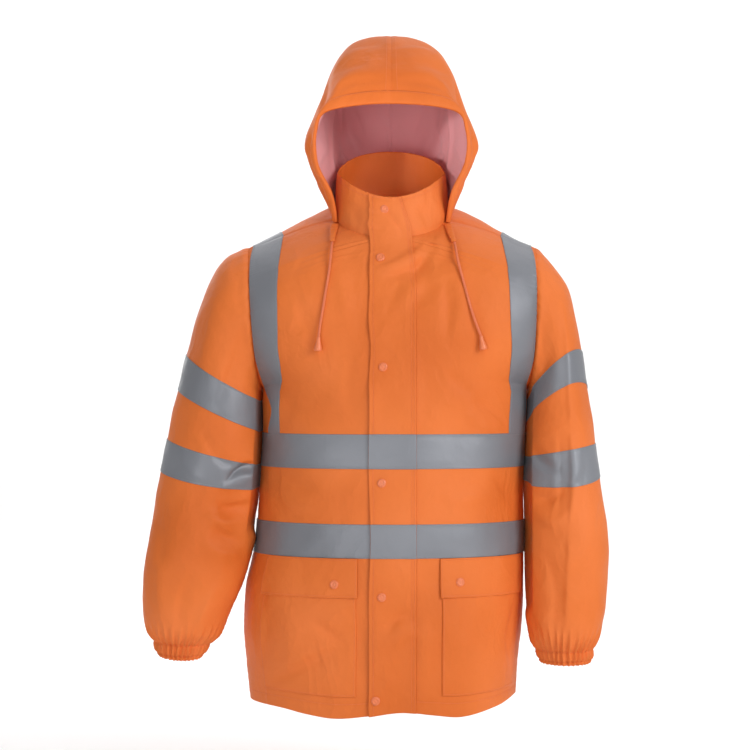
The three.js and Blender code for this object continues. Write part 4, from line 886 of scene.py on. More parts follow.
for name, (foot, head) in body["hoops"].items():
    parts = {(side, face): clothGrid(side, face, firstColumn, body["columns"], rowAt(foot), rowAt(head), 0)
             for side in (leftSide, rightSide) for face, firstColumn in (("front", 1), ("back", 0))}
    points, normals = joined(parts[leftSide, "front"], turnedRound(parts[leftSide, "back"]),
                             parts[rightSide, "back"], turnedRound(parts[rightSide, "front"]))
    markRows(points, normals, onTape, [2, len(points) - 3], "tape", sink=sinks["tape"])
    piece = wallPiece(f"hoop_{name}_tape", points, normals, thick["tape"], lift=onTape)
    addCloth(piece, "reflective_tape", [f"hoop_{name}"], "laid", ("back", "front_left", "front_right"))

# Above the hoop the right brace's outer part lies under a fold of the front: the share that is hidden
braceFold = {rightSide: table("z share", (-327, 0.42), (-312, 0.6), (-297, 0.68), (-284, 0.52), (-270, 0.24),
                              (-252, 0))}


def foldedUnder(points, normals, fold):
    share = smoothColumn(fold, "share", "z", np.clip(points[:, :1, 2], fold["z"][0], fold["z"][-1]))
    across = np.linalg.norm(np.diff(points, axis=1), axis=2)
    walk = np.concatenate([np.zeros((len(points), 1)), np.cumsum(across, 1)], 1)
    for i, kept in enumerate(1 - np.clip(share[:, 0], 0, 1)):
        for grid in (points, normals):
            grid[i] = np.stack([np.interp(walk[i] * kept, walk[i], grid[i][:, k]) for k in range(3)], 1)


braceSpan = (body["braceInner"], body["braceOuter"],
             rowAt(body["hoops"]["upper"][1]) + body["braceGapRows"], body["shoulderRow"], 0)
for name, side in sides.items():
    top = clothGrid(side, "front", *braceSpan)
    if side in braceFold:
        foldedUnder(*top, braceFold[side])
    behind = clothGrid(side, "back", *braceSpan)
    points = np.concatenate([top[0], behind[0][::-1][1:]], 0)
    normals = unit(np.concatenate([top[1], behind[1][::-1][1:]], 0))
    markColumns(points, normals, onTape, [2, points.shape[1] - 3], "tape")
    piece = wallPiece(f"brace_{name}_tape", points, normals, thick["tape"], lift=onTape, flip=side < 0)
    addCloth(piece, "reflective_tape", [f"brace_{name}"], "laid", (f"front_{name}", "back"))
print("stage 5: hoops and braces are on")

# Patch pockets and their flaps

pocket = {"inset": 3, "bagLift": 1.7, "bagSwell": 1.5, "flapInset": 0.3, "flapLift": 2.6, "flapFree": 1.8}
for name, side in sides.items():
    last = body["pocketOuter"][side]
    points, normals = clothGrid(side, "front", 2, last, rowAt(body["pocketFoot"]), rowAt(body["pocketHead"]),
                                pocket["inset"])
    h, w = points.shape[:2]
    middle = np.outer(np.sin(np.linspace(0, math.pi, h)) ** 0.6, np.sin(np.linspace(0, math.pi, w)) ** 0.6)
    raised = points + normals * (pocket["bagLift"] + pocket["bagSwell"] * middle)[..., None]
    markColumns(raised, normals, 0, [2, w - 3], "shell")
    markRows(raised, normals, 0, [2], "shell", sink=sinks["doubled"])
    piece = wallPiece(f"pocket_{name}_cloth", raised, normals, thick["cloth"], flip=side < 0, roundRim=0.5)
    addCloth(piece, "shell", [f"pocket_{name}"], "laid", (f"front_{name}",))
    points, normals = clothGrid(side, "front", 2, last, rowAt(body["flapFoot"]),
                                rowAt(body["hoops"]["lower"][0]) - body["flapGapRows"],
                                pocket["flapInset"])
    h, w = points.shape[:2]
    free = np.linspace(1, 0, h)[:, None] ** 0.7
    wave = 0.5 * np.sin(np.linspace(0, 9, w) + side)[None] + 0.4 * np.sin(np.linspace(0, 21, w))[None]
    lift = pocket["flapLift"] + free * (pocket["flapFree"] + wave)
    raised = points + normals * lift[..., None]
    markColumns(raised, normals, 0, [2, w - 3], "shell")
    markRows(raised, normals, 0, [2, h - 3], "shell", sink=sinks["doubled"])
    hosts[f"pocket_flap_{name}"] = (raised, normalsOf(raised, side))
    piece = wallPiece(f"pocket_flap_{name}_cloth", raised, normalsOf(raised, side), thick["cloth"],
                      flip=side < 0, roundRim=0.5)
    addCloth(piece, "shell", [f"pocket_flap_{name}"], "hung", (f"pocket_{name}",))
print("stage 6: pockets and flaps are on")

# Hood, by arches from the face edge to the nape, as in the CAD part

hoodHeights = np.array([0, 0.25, 0.5, 0.75, 0.94, 1])
hoodTable = table(
    "crownY crownZ base lean jaw cheek temple brow",
    (-108, 166, 70, 0.8, 94, 115, 117, 97), (-88, 214, 80, 0.7, 114, 130, 105, 74),
    (-36, 269, 92, 0.6, 108, 117, 101, 67), (28, 286, 106, 0.6, 99, 105, 95, 62),
    (88, 262, 120, 0.6, 90, 95, 84, 50), (128, 205, 134, 0.7, 82, 86, 75, 45),
    (136, 138, 147, 0.8, 68, 70, 60, 34), (112, 80, 157, 1, 48, 46, 37, 20),
)
hood = {"clearance": 5, "raise": 1.2, "napeFrom": 164, "sectionMm": 48, "shareMm": 330, "columns": 92,
        "rows": 100, "firstPlace": 0.006, "lastPlace": 7.99, "halfGap": 0.15, "channelMm": 24}
casing = {"outside": 1.6, "inside": -4.0, "round": 7, "width": 0.4, "rows": 9, "puff": 1.3}
hoodLining = {"from": 0.12, "to": 7.4, "count": 84, "behind": 1.0, "halfGap": 0.1}

# Creases of the hood, by (sections x sectionMm, share x shareMm), and of its lining
creases["hood"] = [
    ([(30, 330), (34, 290), (30, 236)], -2.2, 5), ([(44, 322), (50, 284), (46, 240)], 2.0, 8),
    ([(62, 300), (70, 262), (82, 228)], -2.4, 8), ([(90, 324), (98, 296), (104, 262)], -1.6, 8),
    ([(24, 180), (60, 196), (104, 206)], -2.2, 9), ([(30, 120), (70, 132), (120, 120)], 2.2, 12),
    ([(40, 60), (84, 84), (150, 96)], -2.6, 11), ([(90, 30), (150, 46), (220, 40)], -2.4, 10),
    ([(120, 180), (180, 196), (240, 170)], -2.6, 13), ([(160, 250), (220, 246), (280, 262)], 2.0, 14),
    ([(200, 110), (260, 120), (330, 100)], -2.4, 12), ([(250, 200), (300, 220), (350, 210)], -2.0, 12),
]
creases["lining"] = [
    ([(150, 0), (168, 110), (186, 230)], -5.5, 8), ([(206, 20), (226, 120), (238, 200)], -2.6, 12),
    ([(70, 60), (80, 140), (100, 220)], -1.6, 12), ([(280, 30), (290, 120), (300, 220)], -2.8, 13),
    ([(340, 60), (344, 150), (340, 260)], -2.2, 12),
]


def hoodArches():
    foot = ringPoint(neck, hoodTable["base"], hood["clearance"]) + [0, 0, hood["raise"]]
    arches = []
    for k in range(len(foot)):
        widths = [foot[k, 0]] + [hoodTable[key][k] for key in ("jaw", "cheek", "temple", "brow")] + [0]
        depths = mix(foot[k, 1], hoodTable["crownY"][k], hoodHeights ** hoodTable["lean"][k])
        arches.append(np.stack([widths, depths, mix(foot[k, 2], hoodTable["crownZ"][k], hoodHeights)], -1))
    nape = ringPoint(neck, mix(hood["napeFrom"], 180, hoodHeights), hood["clearance"])
    return arches + [nape + [0, 0, hood["raise"]]]


def hoodCloth(side, sections, count, kind="hood"):
    along = smoothPoints(hoodArches(), sections)
    line = [along[:, k] for k in range(along.shape[1])] + [along[:, -2] * [-1, 1, 1]]
    fine = np.linspace(0, 1, 241)
    middle = smoothPoints([p[len(sections) // 2] for p in line], fine * 5)
    walk = runOf(middle)
    shares = np.interp(spacedPlaces(0.0, walk[-1], count) / walk[-1], walk / walk[-1], fine)
    points = smoothPoints(line, shares * 5).transpose(1, 0, 2)
    points[:, shares >= 1, 0] = 0
    points = points * [side, 1, 1]
    normals = normalsOf(points, -side)
    at, up = np.asarray(sections)[:, None], shares[None]
    u, v = at * hood["sectionMm"] + 0 * up, up * hood["shareMm"] + 0 * at
    loose = ease(at, 0.5, 1.0) * ease(1 - up, 0, 0.04) * ease(8 - at, 0, 0.5)
    depth = creaseDepth(u, v, "hood") * loose + 0.5 * unevenness(points, 36, 71) * loose
    depth += 1.5 * unevenness(points, 88, 61 + side) * ease(1 - up, 0, 0.08)
    seam = (1 - up) * hood["shareMm"]
    depth += 0.4 * bump(seam - 7, 0, 4, 1) - 0.7 * bump(seam, 0, 2.2, 1)
    depth += pucker(seam, u, 0.45, 13, 9)
    depth += pucker(u - hood["channelMm"], v, 0.7, 15, 9) * ease(at, 0.45, 0.55)
    if kind == "lining":  # the lining follows the shell, with folds of its own that only hang inwards
        depth += creaseDepth(u, v, "lining") * loose - 0.5
    points = points + normals * depth[..., None]
    points[:, shares >= 1, 0] = 0
    normals = normalsOf(points, -side)
    normals[:, shares >= 1, 0] = 0
    return points, unit(normals), shares


def makeHood():
    sections = np.concatenate([spacedPlaces(hood["firstPlace"], casing["width"], 7, span=0.02),
                               np.linspace(casing["width"] + 0.06, hood["lastPlace"], hood["rows"])])
    for name, side in sides.items():
        points, normals, shares = hoodCloth(side, sections, hood["columns"])
        points[..., 0] += side * hood["halfGap"]
        markColumns(points, normals, 0, [len(shares) - 4], "shell", rows=slice(10, len(sections) - 2))
        piece = wallPiece(f"hood_{name}_cloth", points, normals, thick["cloth"], flip=side > 0)
        addCloth(piece, "shell", [f"hood_{name}"])
        inside = np.linspace(hoodLining["from"], hoodLining["to"], hoodLining["count"])
        points, normals, _ = hoodCloth(side, inside, hoodLining["count"], "lining")
        points = points - normals * (thick["cloth"] + hoodLining["behind"])
        points[..., 0] += side * hoodLining["halfGap"]
        piece = wallPiece(f"hood_{name}_lining", points, normals, thick["lining"], flip=side > 0)
        addCloth(piece, "lining", [f"hood_lining_{name}"], rests=(f"hood_{name}",))


def makeCasing():
    # the hood's edge, turned in over a draw channel: one band round the face from foot to foot
    sections = np.linspace(0.0, casing["width"], casing["rows"])
    halves = [hoodCloth(side, sections, hood["columns"]) for side in (rightSide, leftSide)]
    grid, normals = joined(halves[0], turnedRound(halves[1]))
    front = unit(grid[0] - grid[1])
    shares = np.linspace(0, 1, len(sections))
    puff = casing["puff"] * np.sin(math.pi * np.clip(shares * 1.05, 0, 1)) ** 0.7
    u = runOf(grid[0])
    ripple = 0.5 * np.sin(u / 2.9 + 1.7 * np.sin(u / 21)) + 0.35 * np.sin(u / 6.1)
    rings = []
    for k in range(len(sections) - 1, -1, -1):  # the outer face, from the stitched edge to the face edge
        swell = casing["outside"] + puff[k] + ripple * math.sin(math.pi * shares[k]) * 0.8
        rings.append(grid[k] + normals[k] * (swell[:, None] if k < len(sections) - 1 else 0.9))
    middle, half = (casing["outside"] + casing["inside"]) / 2, (casing["outside"] - casing["inside"]) / 2
    for a in np.linspace(0, math.pi, casing["round"] + 2)[1:-1]:  # over the rounded edge
        rings.append(grid[0] + normals[0] * (middle + half * math.cos(a))
                     + front * (half * 0.75 * math.sin(a)))
    for k in range(len(sections)):  # and back inside
        rings.append(grid[k] + normals[k] * (casing["inside"] + 0.9 * shares[k]))
    rings = np.array(rings).transpose(1, 0, 2)
    piece = tubePiece("hood_casing_cloth", rings, flip=True)
    stitchLines["shell"].append((grid[-2] + normals[-2] * (casing["outside"] + puff[-2]), normals[-2]))
    addCloth(piece, "shell", ["hood_hem"], "gathered", ("hood_left", "hood_right"))


def tubePiece(name, rings, flip=False):
    h, w = rings.shape[:2]
    around = np.array([runOf(ring) for ring in rings])
    middles = rings.mean(1)
    run = runOf(middles)
    maps = np.stack([around, np.repeat(run[:, None], w, 1)], -1).reshape(-1, 2) * mm
    vertices = rings.reshape(-1, 3)
    faces = [(r * w + c, r * w + (c + 1) % w, (r + 1) * w + (c + 1) % w, (r + 1) * w + c)
             for r in range(h - 1) for c in range(w)]
    ends = [len(vertices), len(vertices) + 1]
    vertices = np.concatenate([vertices, [middles[0], middles[-1]]])
    maps = np.concatenate([maps, [maps[0], maps[-1]]])
    faces += [(ends[0], (c + 1) % w, c) for c in range(w)]
    faces += [(ends[1], (h - 1) * w + c, (h - 1) * w + (c + 1) % w) for c in range(w)]
    if flip:
        faces = [tuple(reversed(face)) for face in faces]
    return newPiece(name, vertices, faces, maps)


makeHood()
makeCasing()

# Tails of the hood's channel: flat sewn tubes that run down onto the chest

tails = {
    leftSide: table("x y z width thickness", (87.3, -47.8, -13.2, 13, 3.2), (89, -58.3, -19.8, 12, 3.2),
                    (90, -67.8, -25.8, 11, 3.2), (92, -77.4, -33.5, 9.5, 3.4),
                    (95, -86.8, -42.2, 7.5, 3.6)),
    rightSide: table("x y z width thickness", (-87.3, -48, -13.2, 13, 3.2), (-88.3, -58.5, -19.8, 12, 3.2),
                     (-89.2, -68.6, -26, 11, 3.2), (-89.8, -78.3, -33.4, 9.5, 3.4),
                     (-90, -89, -42, 7.5, 3.6)),
}
tail = {"steps": 40, "sides": 36, "out": (0, -0.62, 0.78)}


def frameAlong(path, out):
    # directions across a path and outwards from it, at each of its points
    along = unit(np.gradient(path, axis=0))
    across = unit(np.cross(along, np.broadcast_to(np.asarray(out, float), along.shape)))
    return across, np.cross(across, along)


def makeTail(name, side):
    rows = tails[side]
    places = np.linspace(0, len(rows["x"]) - 1, tail["steps"])
    path = smoothPoints(list(np.stack([rows["x"], rows["y"], rows["z"]], -1)), places)
    width = np.interp(places, range(len(rows["width"])), rows["width"])
    thickness = np.interp(places, range(len(rows["thickness"])), rows["thickness"])
    across, out = frameAlong(path, tail["out"])
    a = np.linspace(0, 2 * math.pi, tail["sides"], endpoint=False)
    flat = np.sign(np.cos(a)) * np.abs(np.cos(a)) ** 0.8
    groove = 1 - 0.35 * np.exp(-(((np.abs(np.cos(a)) - 0.78) / 0.08) ** 2))
    rings = (path[:, None] + across[:, None] * (width[:, None] / 2 * flat)[..., None]
             + out[:, None] * (thickness[:, None] / 2 * (np.sin(a) * groove)[None]
                               * (1 + 0.12 * np.sin(places * 9)[:, None]))[..., None])
    piece = tubePiece(f"hood_tail_{name}_cloth", rings)
    edge = path + across * (width * 0.39)[:, None] + out * (thickness * 0.34)[:, None]
    stitchLines["shell"].append((edge[2:-2], out[2:-2]))
    addCloth(piece, "shell", [f"hood_tail_{name}"], "stretched", (f"hood_{name}",))


for name, side in sides.items():
    makeTail(name, side)
print("stage 7: hood, lining and tails are sewn")

# Drawcords with their ends, on the CAD part's routes

cordRoutes = {
    "left": [(95.6, -89.6, -44), (97.2, -101, -55), (98.8, -109.6, -67.4), (103.9, -116.6, -89.4),
             (111.1, -123.3, -117), (118.4, -128.6, -144.5), (126.6, -130, -168.6), (133.5, -129.5, -186.5)],
    "right": [(-90.1, -92, -43.8), (-91, -103.5, -56), (-92, -111.2, -70.4), (-94.8, -117.6, -94),
              (-99.1, -125, -120), (-103.4, -130, -147.5), (-107.1, -132, -170.1), (-109.3, -132.5, -188.1)],
}
cord = {"diameter": 4, "points": 33, "sides": 20, "rings": 260, "twist": 1.1, "out": (0, -1, 0.05)}


def cordPath(route, count):
    # centripetal curve through the route, as the CAD part's own
    line = np.array(route, float)
    line = np.concatenate([[2 * line[0] - line[1]], line, [2 * line[-1] - line[-2]]])
    knots = np.concatenate([[0], np.cumsum(np.linalg.norm(np.diff(line, axis=0), axis=1) ** 0.5)])
    walk = []
    for t in np.linspace(knots[1], knots[-2], 400):
        i = min(max(np.searchsorted(knots, t) - 1, 1), len(line) - 3)
        p, k = line[i - 1:i + 3], knots[i - 1:i + 3]
        blend = lambda a, b, ka, kb: a * (kb - t) / (kb - ka) + b * (t - ka) / (kb - ka)
        a1, a2, a3 = (blend(p[j], p[j + 1], k[j], k[j + 1]) for j in range(3))
        b1, b2 = blend(a1, a2, k[0], k[2]), blend(a2, a3, k[1], k[3])
        walk.append(blend(b1, b2, k[1], k[2]))
    walk = np.array(walk)
    run = runOf(walk)
    even = np.linspace(0, run[-1], count)
    return np.stack([np.interp(even, run, walk[:, k]) for k in range(3)], -1), run[-1]


def makeCord(name, route):
    path, length = cordPath(route, cord["rings"])
    across, out = frameAlong(path, cord["out"])
    a = np.linspace(0, 2 * math.pi, cord["sides"], endpoint=False)
    ridge = 0.036 * np.sin(3 * a[None] + np.linspace(0, length, len(path))[:, None] * cord["twist"])
    radius = cord["diameter"] / 2 * (0.97 + ridge)
    rings = (path[:, None] + across[:, None] * (radius * np.cos(a))[..., None]
             + out[:, None] * (radius * np.sin(a))[..., None])
    piece = tubePiece(f"drawcord_{name}", rings)
    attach(piece, "root")
    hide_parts(f"cord_{name}")
    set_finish(piece, "cord")
    pieces[piece.name] = piece
    return (piece, *cordPath(route, cord["points"]))


cordFacts = {name: makeCord(name, route) for name, route in cordRoutes.items()}
print("stage 8: drawcords hang from the tails", {name: round(fact[2]) for name, fact in cordFacts.items()})

# Snaps and cord ends, modelled once each and copied

snap = {"radius": 6.6, "base": 1.1, "capRadius": 5.3, "height": 2.4, "hollowRadius": 3.5, "hollow": 0.6,
        "dome": 0.35, "sides": 40}
bell = {"rings": [(2.7, 0), (2.9, 1.2), (2.8, 3), (3.2, 6), (3.8, 8.6), (4.9, 12.6), (5.8, 16), (6.0, 17.6),
                  (5.9, 19.4), (5.0, 20.8)], "hollowRadius": 2.6, "sides": 36}
softEdge = {"width": 0.18, "segments": 2, "angle": 28, "smoothAngle": 40}


def modelDisc(name, steps, count):
    # a turned shape: a filled circle carried through (radius, height) steps by extrude and resize
    bpy.ops.object.select_all(action="DESELECT")
    bpy.ops.mesh.primitive_circle_add(vertices=count, radius=steps[0][0] * mm, fill_type="NGON",
                                      location=(0, 0, steps[0][1] * mm))
    piece = bpy.context.object
    piece.name = piece.data.name = name
    bpy.ops.object.transform_apply(location=True, rotation=True, scale=True)
    bpy.ops.object.mode_set(mode="EDIT")
    bpy.ops.mesh.select_mode(type="FACE")
    bpy.ops.mesh.select_all(action="SELECT")
    for (before, low), (radius, high) in zip(steps, steps[1:]):
        bpy.ops.mesh.extrude_region_move(TRANSFORM_OT_translate={"value": (0, 0, (high - low) * mm)})
        share = radius / before
        bpy.ops.transform.resize(value=(share, share, 1), center_override=(0, 0, high * mm))
    bpy.ops.mesh.select_all(action="SELECT")
    bpy.ops.mesh.normals_make_consistent(inside=False)
    bpy.ops.object.mode_set(mode="OBJECT")
    bevel = piece.modifiers.new("softEdges", "BEVEL")
    bevel.width = softEdge["width"] * mm
    bevel.segments = softEdge["segments"]
    bevel.limit_method = "ANGLE"
    bevel.angle_limit = math.radians(softEdge["angle"])
    bpy.ops.object.modifier_apply(modifier=bevel.name)
    bpy.ops.object.shade_smooth_by_angle(angle=math.radians(softEdge["smoothAngle"]))
    return piece


def placedCopy(master, name, matrix, node, slotName):
    piece = master.copy()
    piece.data = master.data.copy()
    piece.name = piece.data.name = name
    piece.data.transform(matrix)
    bpy.context.collection.objects.link(piece)
    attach(piece, "root")
    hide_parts(node)
    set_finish(piece, slotName)
    pieces[name] = piece


def lookAlong(place, direction):
    turn = Vector(direction).to_track_quat("Z", "Y").to_matrix().to_4x4()
    return Matrix.Translation(Vector([float(v) for v in place]) * mm) @ turn


def middleOf(node):
    low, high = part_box(node)
    return np.array([(a + b) / 2 / mm for a, b in zip(low, high)])


hollowFloor = snap["height"] - snap["hollow"]
snapSteps = [(snap["radius"], 0), (snap["radius"], snap["base"]),
             (snap["capRadius"] + 0.4, snap["base"] + 0.25), (snap["capRadius"], snap["height"] - 0.3),
             (snap["capRadius"] - 0.5, snap["height"]), (snap["hollowRadius"] + 0.3, snap["height"]),
             (snap["hollowRadius"], hollowFloor), (1.5, hollowFloor), (1.1, hollowFloor + snap["dome"])]
snapMaster = modelDisc("snapMaster", snapSteps, snap["sides"])
snapHosts = {f"snap_{i}": "placket" for i in range(1, 7)}
snapHosts.update({f"pocket_snap_{name}": f"pocket_flap_{name}" for name in sides})
for node, host in snapHosts.items():
    points, normals = hosts[host]
    middle = middleOf(node)
    r, c = np.unravel_index(np.argmin(np.linalg.norm(points - middle, axis=2)), points.shape[:2])
    out = unit(normals[max(r - 1, 0):r + 2, max(c - 1, 0):c + 2].reshape(-1, 3).mean(0))
    seat = middle - out * ((middle - points[r, c]) @ out) + out * 0.1
    placedCopy(snapMaster, f"{node}_cap", lookAlong(seat, out), node, "plastic")
bpy.data.objects.remove(snapMaster)

bellSteps = bell["rings"] + [(bell["hollowRadius"], 20.9), (bell["hollowRadius"] * 0.9, 18.6)]
bellMaster = modelDisc("bellMaster", bellSteps, bell["sides"])
for name, route in cordRoutes.items():
    before, last = np.array(route[-2], float), np.array(route[-1], float)
    way = unit(unit(last - before) * 0.5 + np.array([0, 0, -0.5]))
    seat = lookAlong(last + way * 0.2, way)
    placedCopy(bellMaster, f"cord_bell_{name}", seat, f"cord_end_{name}", "plastic")
bpy.data.objects.remove(bellMaster)
print("stage 9: snaps and cord ends are in place")

# Stitches, one small bead of thread each

stitch = {"pitch": 3.3, "length": 2.5, "radius": 0.34, "sides": 5}


def sew(name, lines, slotName):
    n = stitch["sides"]
    a = np.linspace(0, 2 * math.pi, n, endpoint=False)
    mould = [(-0.5, 0, 0)] + [(-0.28, math.cos(t), math.sin(t)) for t in a]
    mould += [(0.28, math.cos(t), math.sin(t)) for t in a] + [(0.5, 0, 0)]
    mould = np.array(mould)
    cells = [(0, 1 + (k + 1) % n, 1 + k) for k in range(n)]
    cells += [(1 + k, 1 + (k + 1) % n, 1 + n + (k + 1) % n, 1 + n + k) for k in range(n)]
    cells += [(2 * n + 1, 1 + n + k, 1 + n + (k + 1) % n) for k in range(n)]
    vertices, faces = [], []
    for points, normals in lines:
        run, half = runOf(points), stitch["length"] / 2
        places = np.arange(stitch["pitch"], run[-1] - stitch["pitch"] / 2, stitch["pitch"])
        read = lambda grid, at: np.stack([np.interp(at, run, grid[:, k]) for k in range(3)], -1)
        heads, tips = read(points, places - half), read(points, places + half)
        out = unit(read(normals, places))
        way = unit(tips - heads)
        across = np.cross(out, way)
        middle = (heads + tips) / 2 + out * stitch["radius"] * 0.25
        for m, w, o, c in zip(middle, way, out, across):
            first = len(vertices)
            vertices += list(m + mould[:, :1] * w * stitch["length"]
                             + (mould[:, 1:2] * c + mould[:, 2:] * o * 0.8) * stitch["radius"])
            faces += [tuple(first + i for i in cell) for cell in cells]
    piece = newPiece(name, vertices, faces)
    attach(piece, "root")
    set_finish(piece, slotName)
    pieces[name] = piece
    return len(vertices) // len(mould)


counts = [sew("shell_stitches", stitchLines["shell"], "shell"),
          sew("tape_stitches", stitchLines["tape"], "reflective_tape")]
print("stage 10: stitches are sewn", counts)

# Finishes

colours = {
    "shell": (0.755, 0.176, 0.033), "shellLight": (0.82, 0.204, 0.050), "shellDeep": (0.66, 0.140, 0.021),
    "lining": (0.88, 0.42, 0.44), "liningDeep": (0.80, 0.33, 0.33),
    "tape": (0.215, 0.225, 0.250), "tapeLight": (0.265, 0.278, 0.306),
    # the cord's deeper colour is painted shade, for the grooves of its braid
    "plastic": (0.785, 0.202, 0.075), "cord": (0.86, 0.225, 0.10), "cordGrooveShade": (0.70, 0.145, 0.055),
    "shellThread": (0.84, 0.215, 0.075), "tapeThread": (0.30, 0.31, 0.325),
}


def makeGroup(name, inputs, outputs):
    group = bpy.data.node_groups.new(name, "ShaderNodeTree")
    for label, kind, value in inputs:
        socket = group.interface.new_socket(label, in_out="INPUT", socket_type=kind)
        if value is not None:
            socket.default_value = value
    for label, kind in outputs:
        group.interface.new_socket(label, in_out="OUTPUT", socket_type=kind)
    return group, group.nodes.new("NodeGroupInput"), group.nodes.new("NodeGroupOutput")


def addNode(tree, kind, settings=None, **values):
    node = tree.nodes.new(kind)
    for key, value in (settings or {}).items():
        setattr(node, key, value)
    for key, value in values.items():
        socket = node.inputs[int(key[1:])] if key[0] == "_" else node.inputs[key.replace("_", " ")]
        if isinstance(value, bpy.types.NodeSocket):
            tree.links.new(value, socket)
        else:
            socket.default_value = value
    return node


def calculate(tree, operation, a, b=0.0, c=0.0):
    return addNode(tree, "ShaderNodeMath", {"operation": operation}, _0=a, _1=b, _2=c).outputs[0]


def makeWeaveGroup():
    # plain weave on the piece's own map, in metres: height and a mask of the gaps between threads
    group, inside, outside = makeGroup("plainWeave", [("Vector", "NodeSocketVector", None),
                                                      ("Threads", "NodeSocketFloat", 1500.0)],
                                       [("Height", "NodeSocketFloat"), ("Gaps", "NodeSocketFloat")])
    split = addNode(group, "ShaderNodeSeparateXYZ", Vector=inside.outputs["Vector"])
    waves = []
    for axis in (0, 1):
        turn = calculate(group, "MULTIPLY", split.outputs[axis], inside.outputs["Threads"])
        waves.append(calculate(group, "SINE", calculate(group, "MULTIPLY", turn, math.pi)))
    warp, weft = (calculate(group, "ABSOLUTE", wave) for wave in waves)
    over = calculate(group, "GREATER_THAN", calculate(group, "MULTIPLY", *waves), 0.0)
    lift = addNode(group, "ShaderNodeMix", {"data_type": "FLOAT"}, _0=over, _2=warp, _3=weft).outputs[0]
    group.links.new(lift, outside.inputs["Height"])
    # the gaps are where the weave is lowest: the cloth's colour is darkened there, as painted shade
    group.links.new(calculate(group, "SUBTRACT", 1.0, lift), outside.inputs["Gaps"])
    return group


def makeCrumpleGroup():
    # soft crumples and a slow mottle of coated cloth, through the piece's Object coordinates
    group, inside, outside = makeGroup("crumple", [("Vector", "NodeSocketVector", None),
                                                   ("Scale", "NodeSocketFloat", 11.0),
                                                   ("Sharpness", "NodeSocketFloat", 0.5)],
                                       [("Height", "NodeSocketFloat"), ("Mottle", "NodeSocketFloat")])
    stretch = addNode(group, "ShaderNodeMapping", Vector=inside.outputs["Vector"])
    stretch.inputs["Scale"].default_value = (1.0, 1.0, 0.62)
    stretch.inputs["Rotation"].default_value = (0.2, 0.5, 0.1)
    broad = addNode(group, "ShaderNodeTexNoise", Vector=stretch.outputs[0], Scale=inside.outputs["Scale"],
                    Detail=3.0, Roughness=0.45, Distortion=0.9)
    ridge = calculate(group, "ABSOLUTE", calculate(group, "MULTIPLY_ADD", broad.outputs[0], 2.0, -1.0))
    ridge = calculate(group, "POWER", calculate(group, "SUBTRACT", 1.0, ridge), 2.0)
    ridge = calculate(group, "MULTIPLY", ridge, inside.outputs["Sharpness"])
    fineScale = calculate(group, "MULTIPLY", inside.outputs["Scale"], 5.2)
    fine = addNode(group, "ShaderNodeTexNoise", Vector=inside.outputs["Vector"], Scale=fineScale,
                   Detail=4.0, Roughness=0.5, Distortion=0.4)
    height = calculate(group, "MULTIPLY_ADD", fine.outputs[0], 0.22, ridge)
    height = calculate(group, "MULTIPLY_ADD", broad.outputs[0], 0.6, height)
    group.links.new(height, outside.inputs["Height"])
    slow = addNode(group, "ShaderNodeTexNoise", Vector=inside.outputs["Vector"], Scale=4.5, Detail=2.0,
                   Roughness=0.5)
    group.links.new(slow.outputs[0], outside.inputs["Mottle"])
    return group


weaveGroup = makeWeaveGroup()
crumpleGroup = makeCrumpleGroup()


def makeCloth(name, base, deep, light, roughness, threads, crumple, crumpleDepth, weaveDepth, sheen=0.0,
              specular=0.4, metallic=0.0):
    material = bpy.data.materials.new(name)
    material.use_nodes = True
    tree = material.node_tree
    shader = tree.nodes["Principled BSDF"]
    place = addNode(tree, "ShaderNodeTexCoord")
    own = addNode(tree, "ShaderNodeUVMap", {"uv_map": "cloth"})
    weave = addNode(tree, "ShaderNodeGroup", {"node_tree": weaveGroup}, Vector=own.outputs[0],
                    Threads=threads)
    folds = addNode(tree, "ShaderNodeGroup", {"node_tree": crumpleGroup}, Vector=place.outputs["Object"],
                    Scale=crumple[0], Sharpness=crumple[1])
    ramp = addNode(tree, "ShaderNodeValToRGB", Fac=folds.outputs["Mottle"])
    ramp.color_ramp.elements[0].position, ramp.color_ramp.elements[0].color = 0.3, (*deep, 1)
    ramp.color_ramp.elements[1].position, ramp.color_ramp.elements[1].color = 0.7, (*light, 1)
    ramp.color_ramp.elements.new(0.5).color = (*base, 1)
    # the gaps between the threads are painted darker and warmer: painted shade in the hollows of the weave
    weaveGapShade = addNode(tree, "ShaderNodeMix", {"data_type": "RGBA", "blend_type": "MULTIPLY"},
                     _0=calculate(tree, "MULTIPLY", weave.outputs["Gaps"], 0.22), _6=ramp.outputs[0],
                     _7=(0.62, 0.5, 0.45, 1))
    tree.links.new(weaveGapShade.outputs[2], shader.inputs["Base Color"])
    rough = calculate(tree, "MULTIPLY_ADD", folds.outputs["Mottle"], 0.16, roughness - 0.08)
    tree.links.new(rough, shader.inputs["Roughness"])
    big = addNode(tree, "ShaderNodeBump", Height=folds.outputs["Height"], Strength=1.0,
                  Distance=crumpleDepth)
    small = addNode(tree, "ShaderNodeBump", Height=weave.outputs["Height"], Strength=0.6,
                    Distance=weaveDepth, Normal=big.outputs[0])
    tree.links.new(small.outputs[0], shader.inputs["Normal"])
    shader.inputs["Sheen Weight"].default_value = sheen
    shader.inputs["Specular IOR Level"].default_value = specular
    shader.inputs["Metallic"].default_value = metallic
    return material


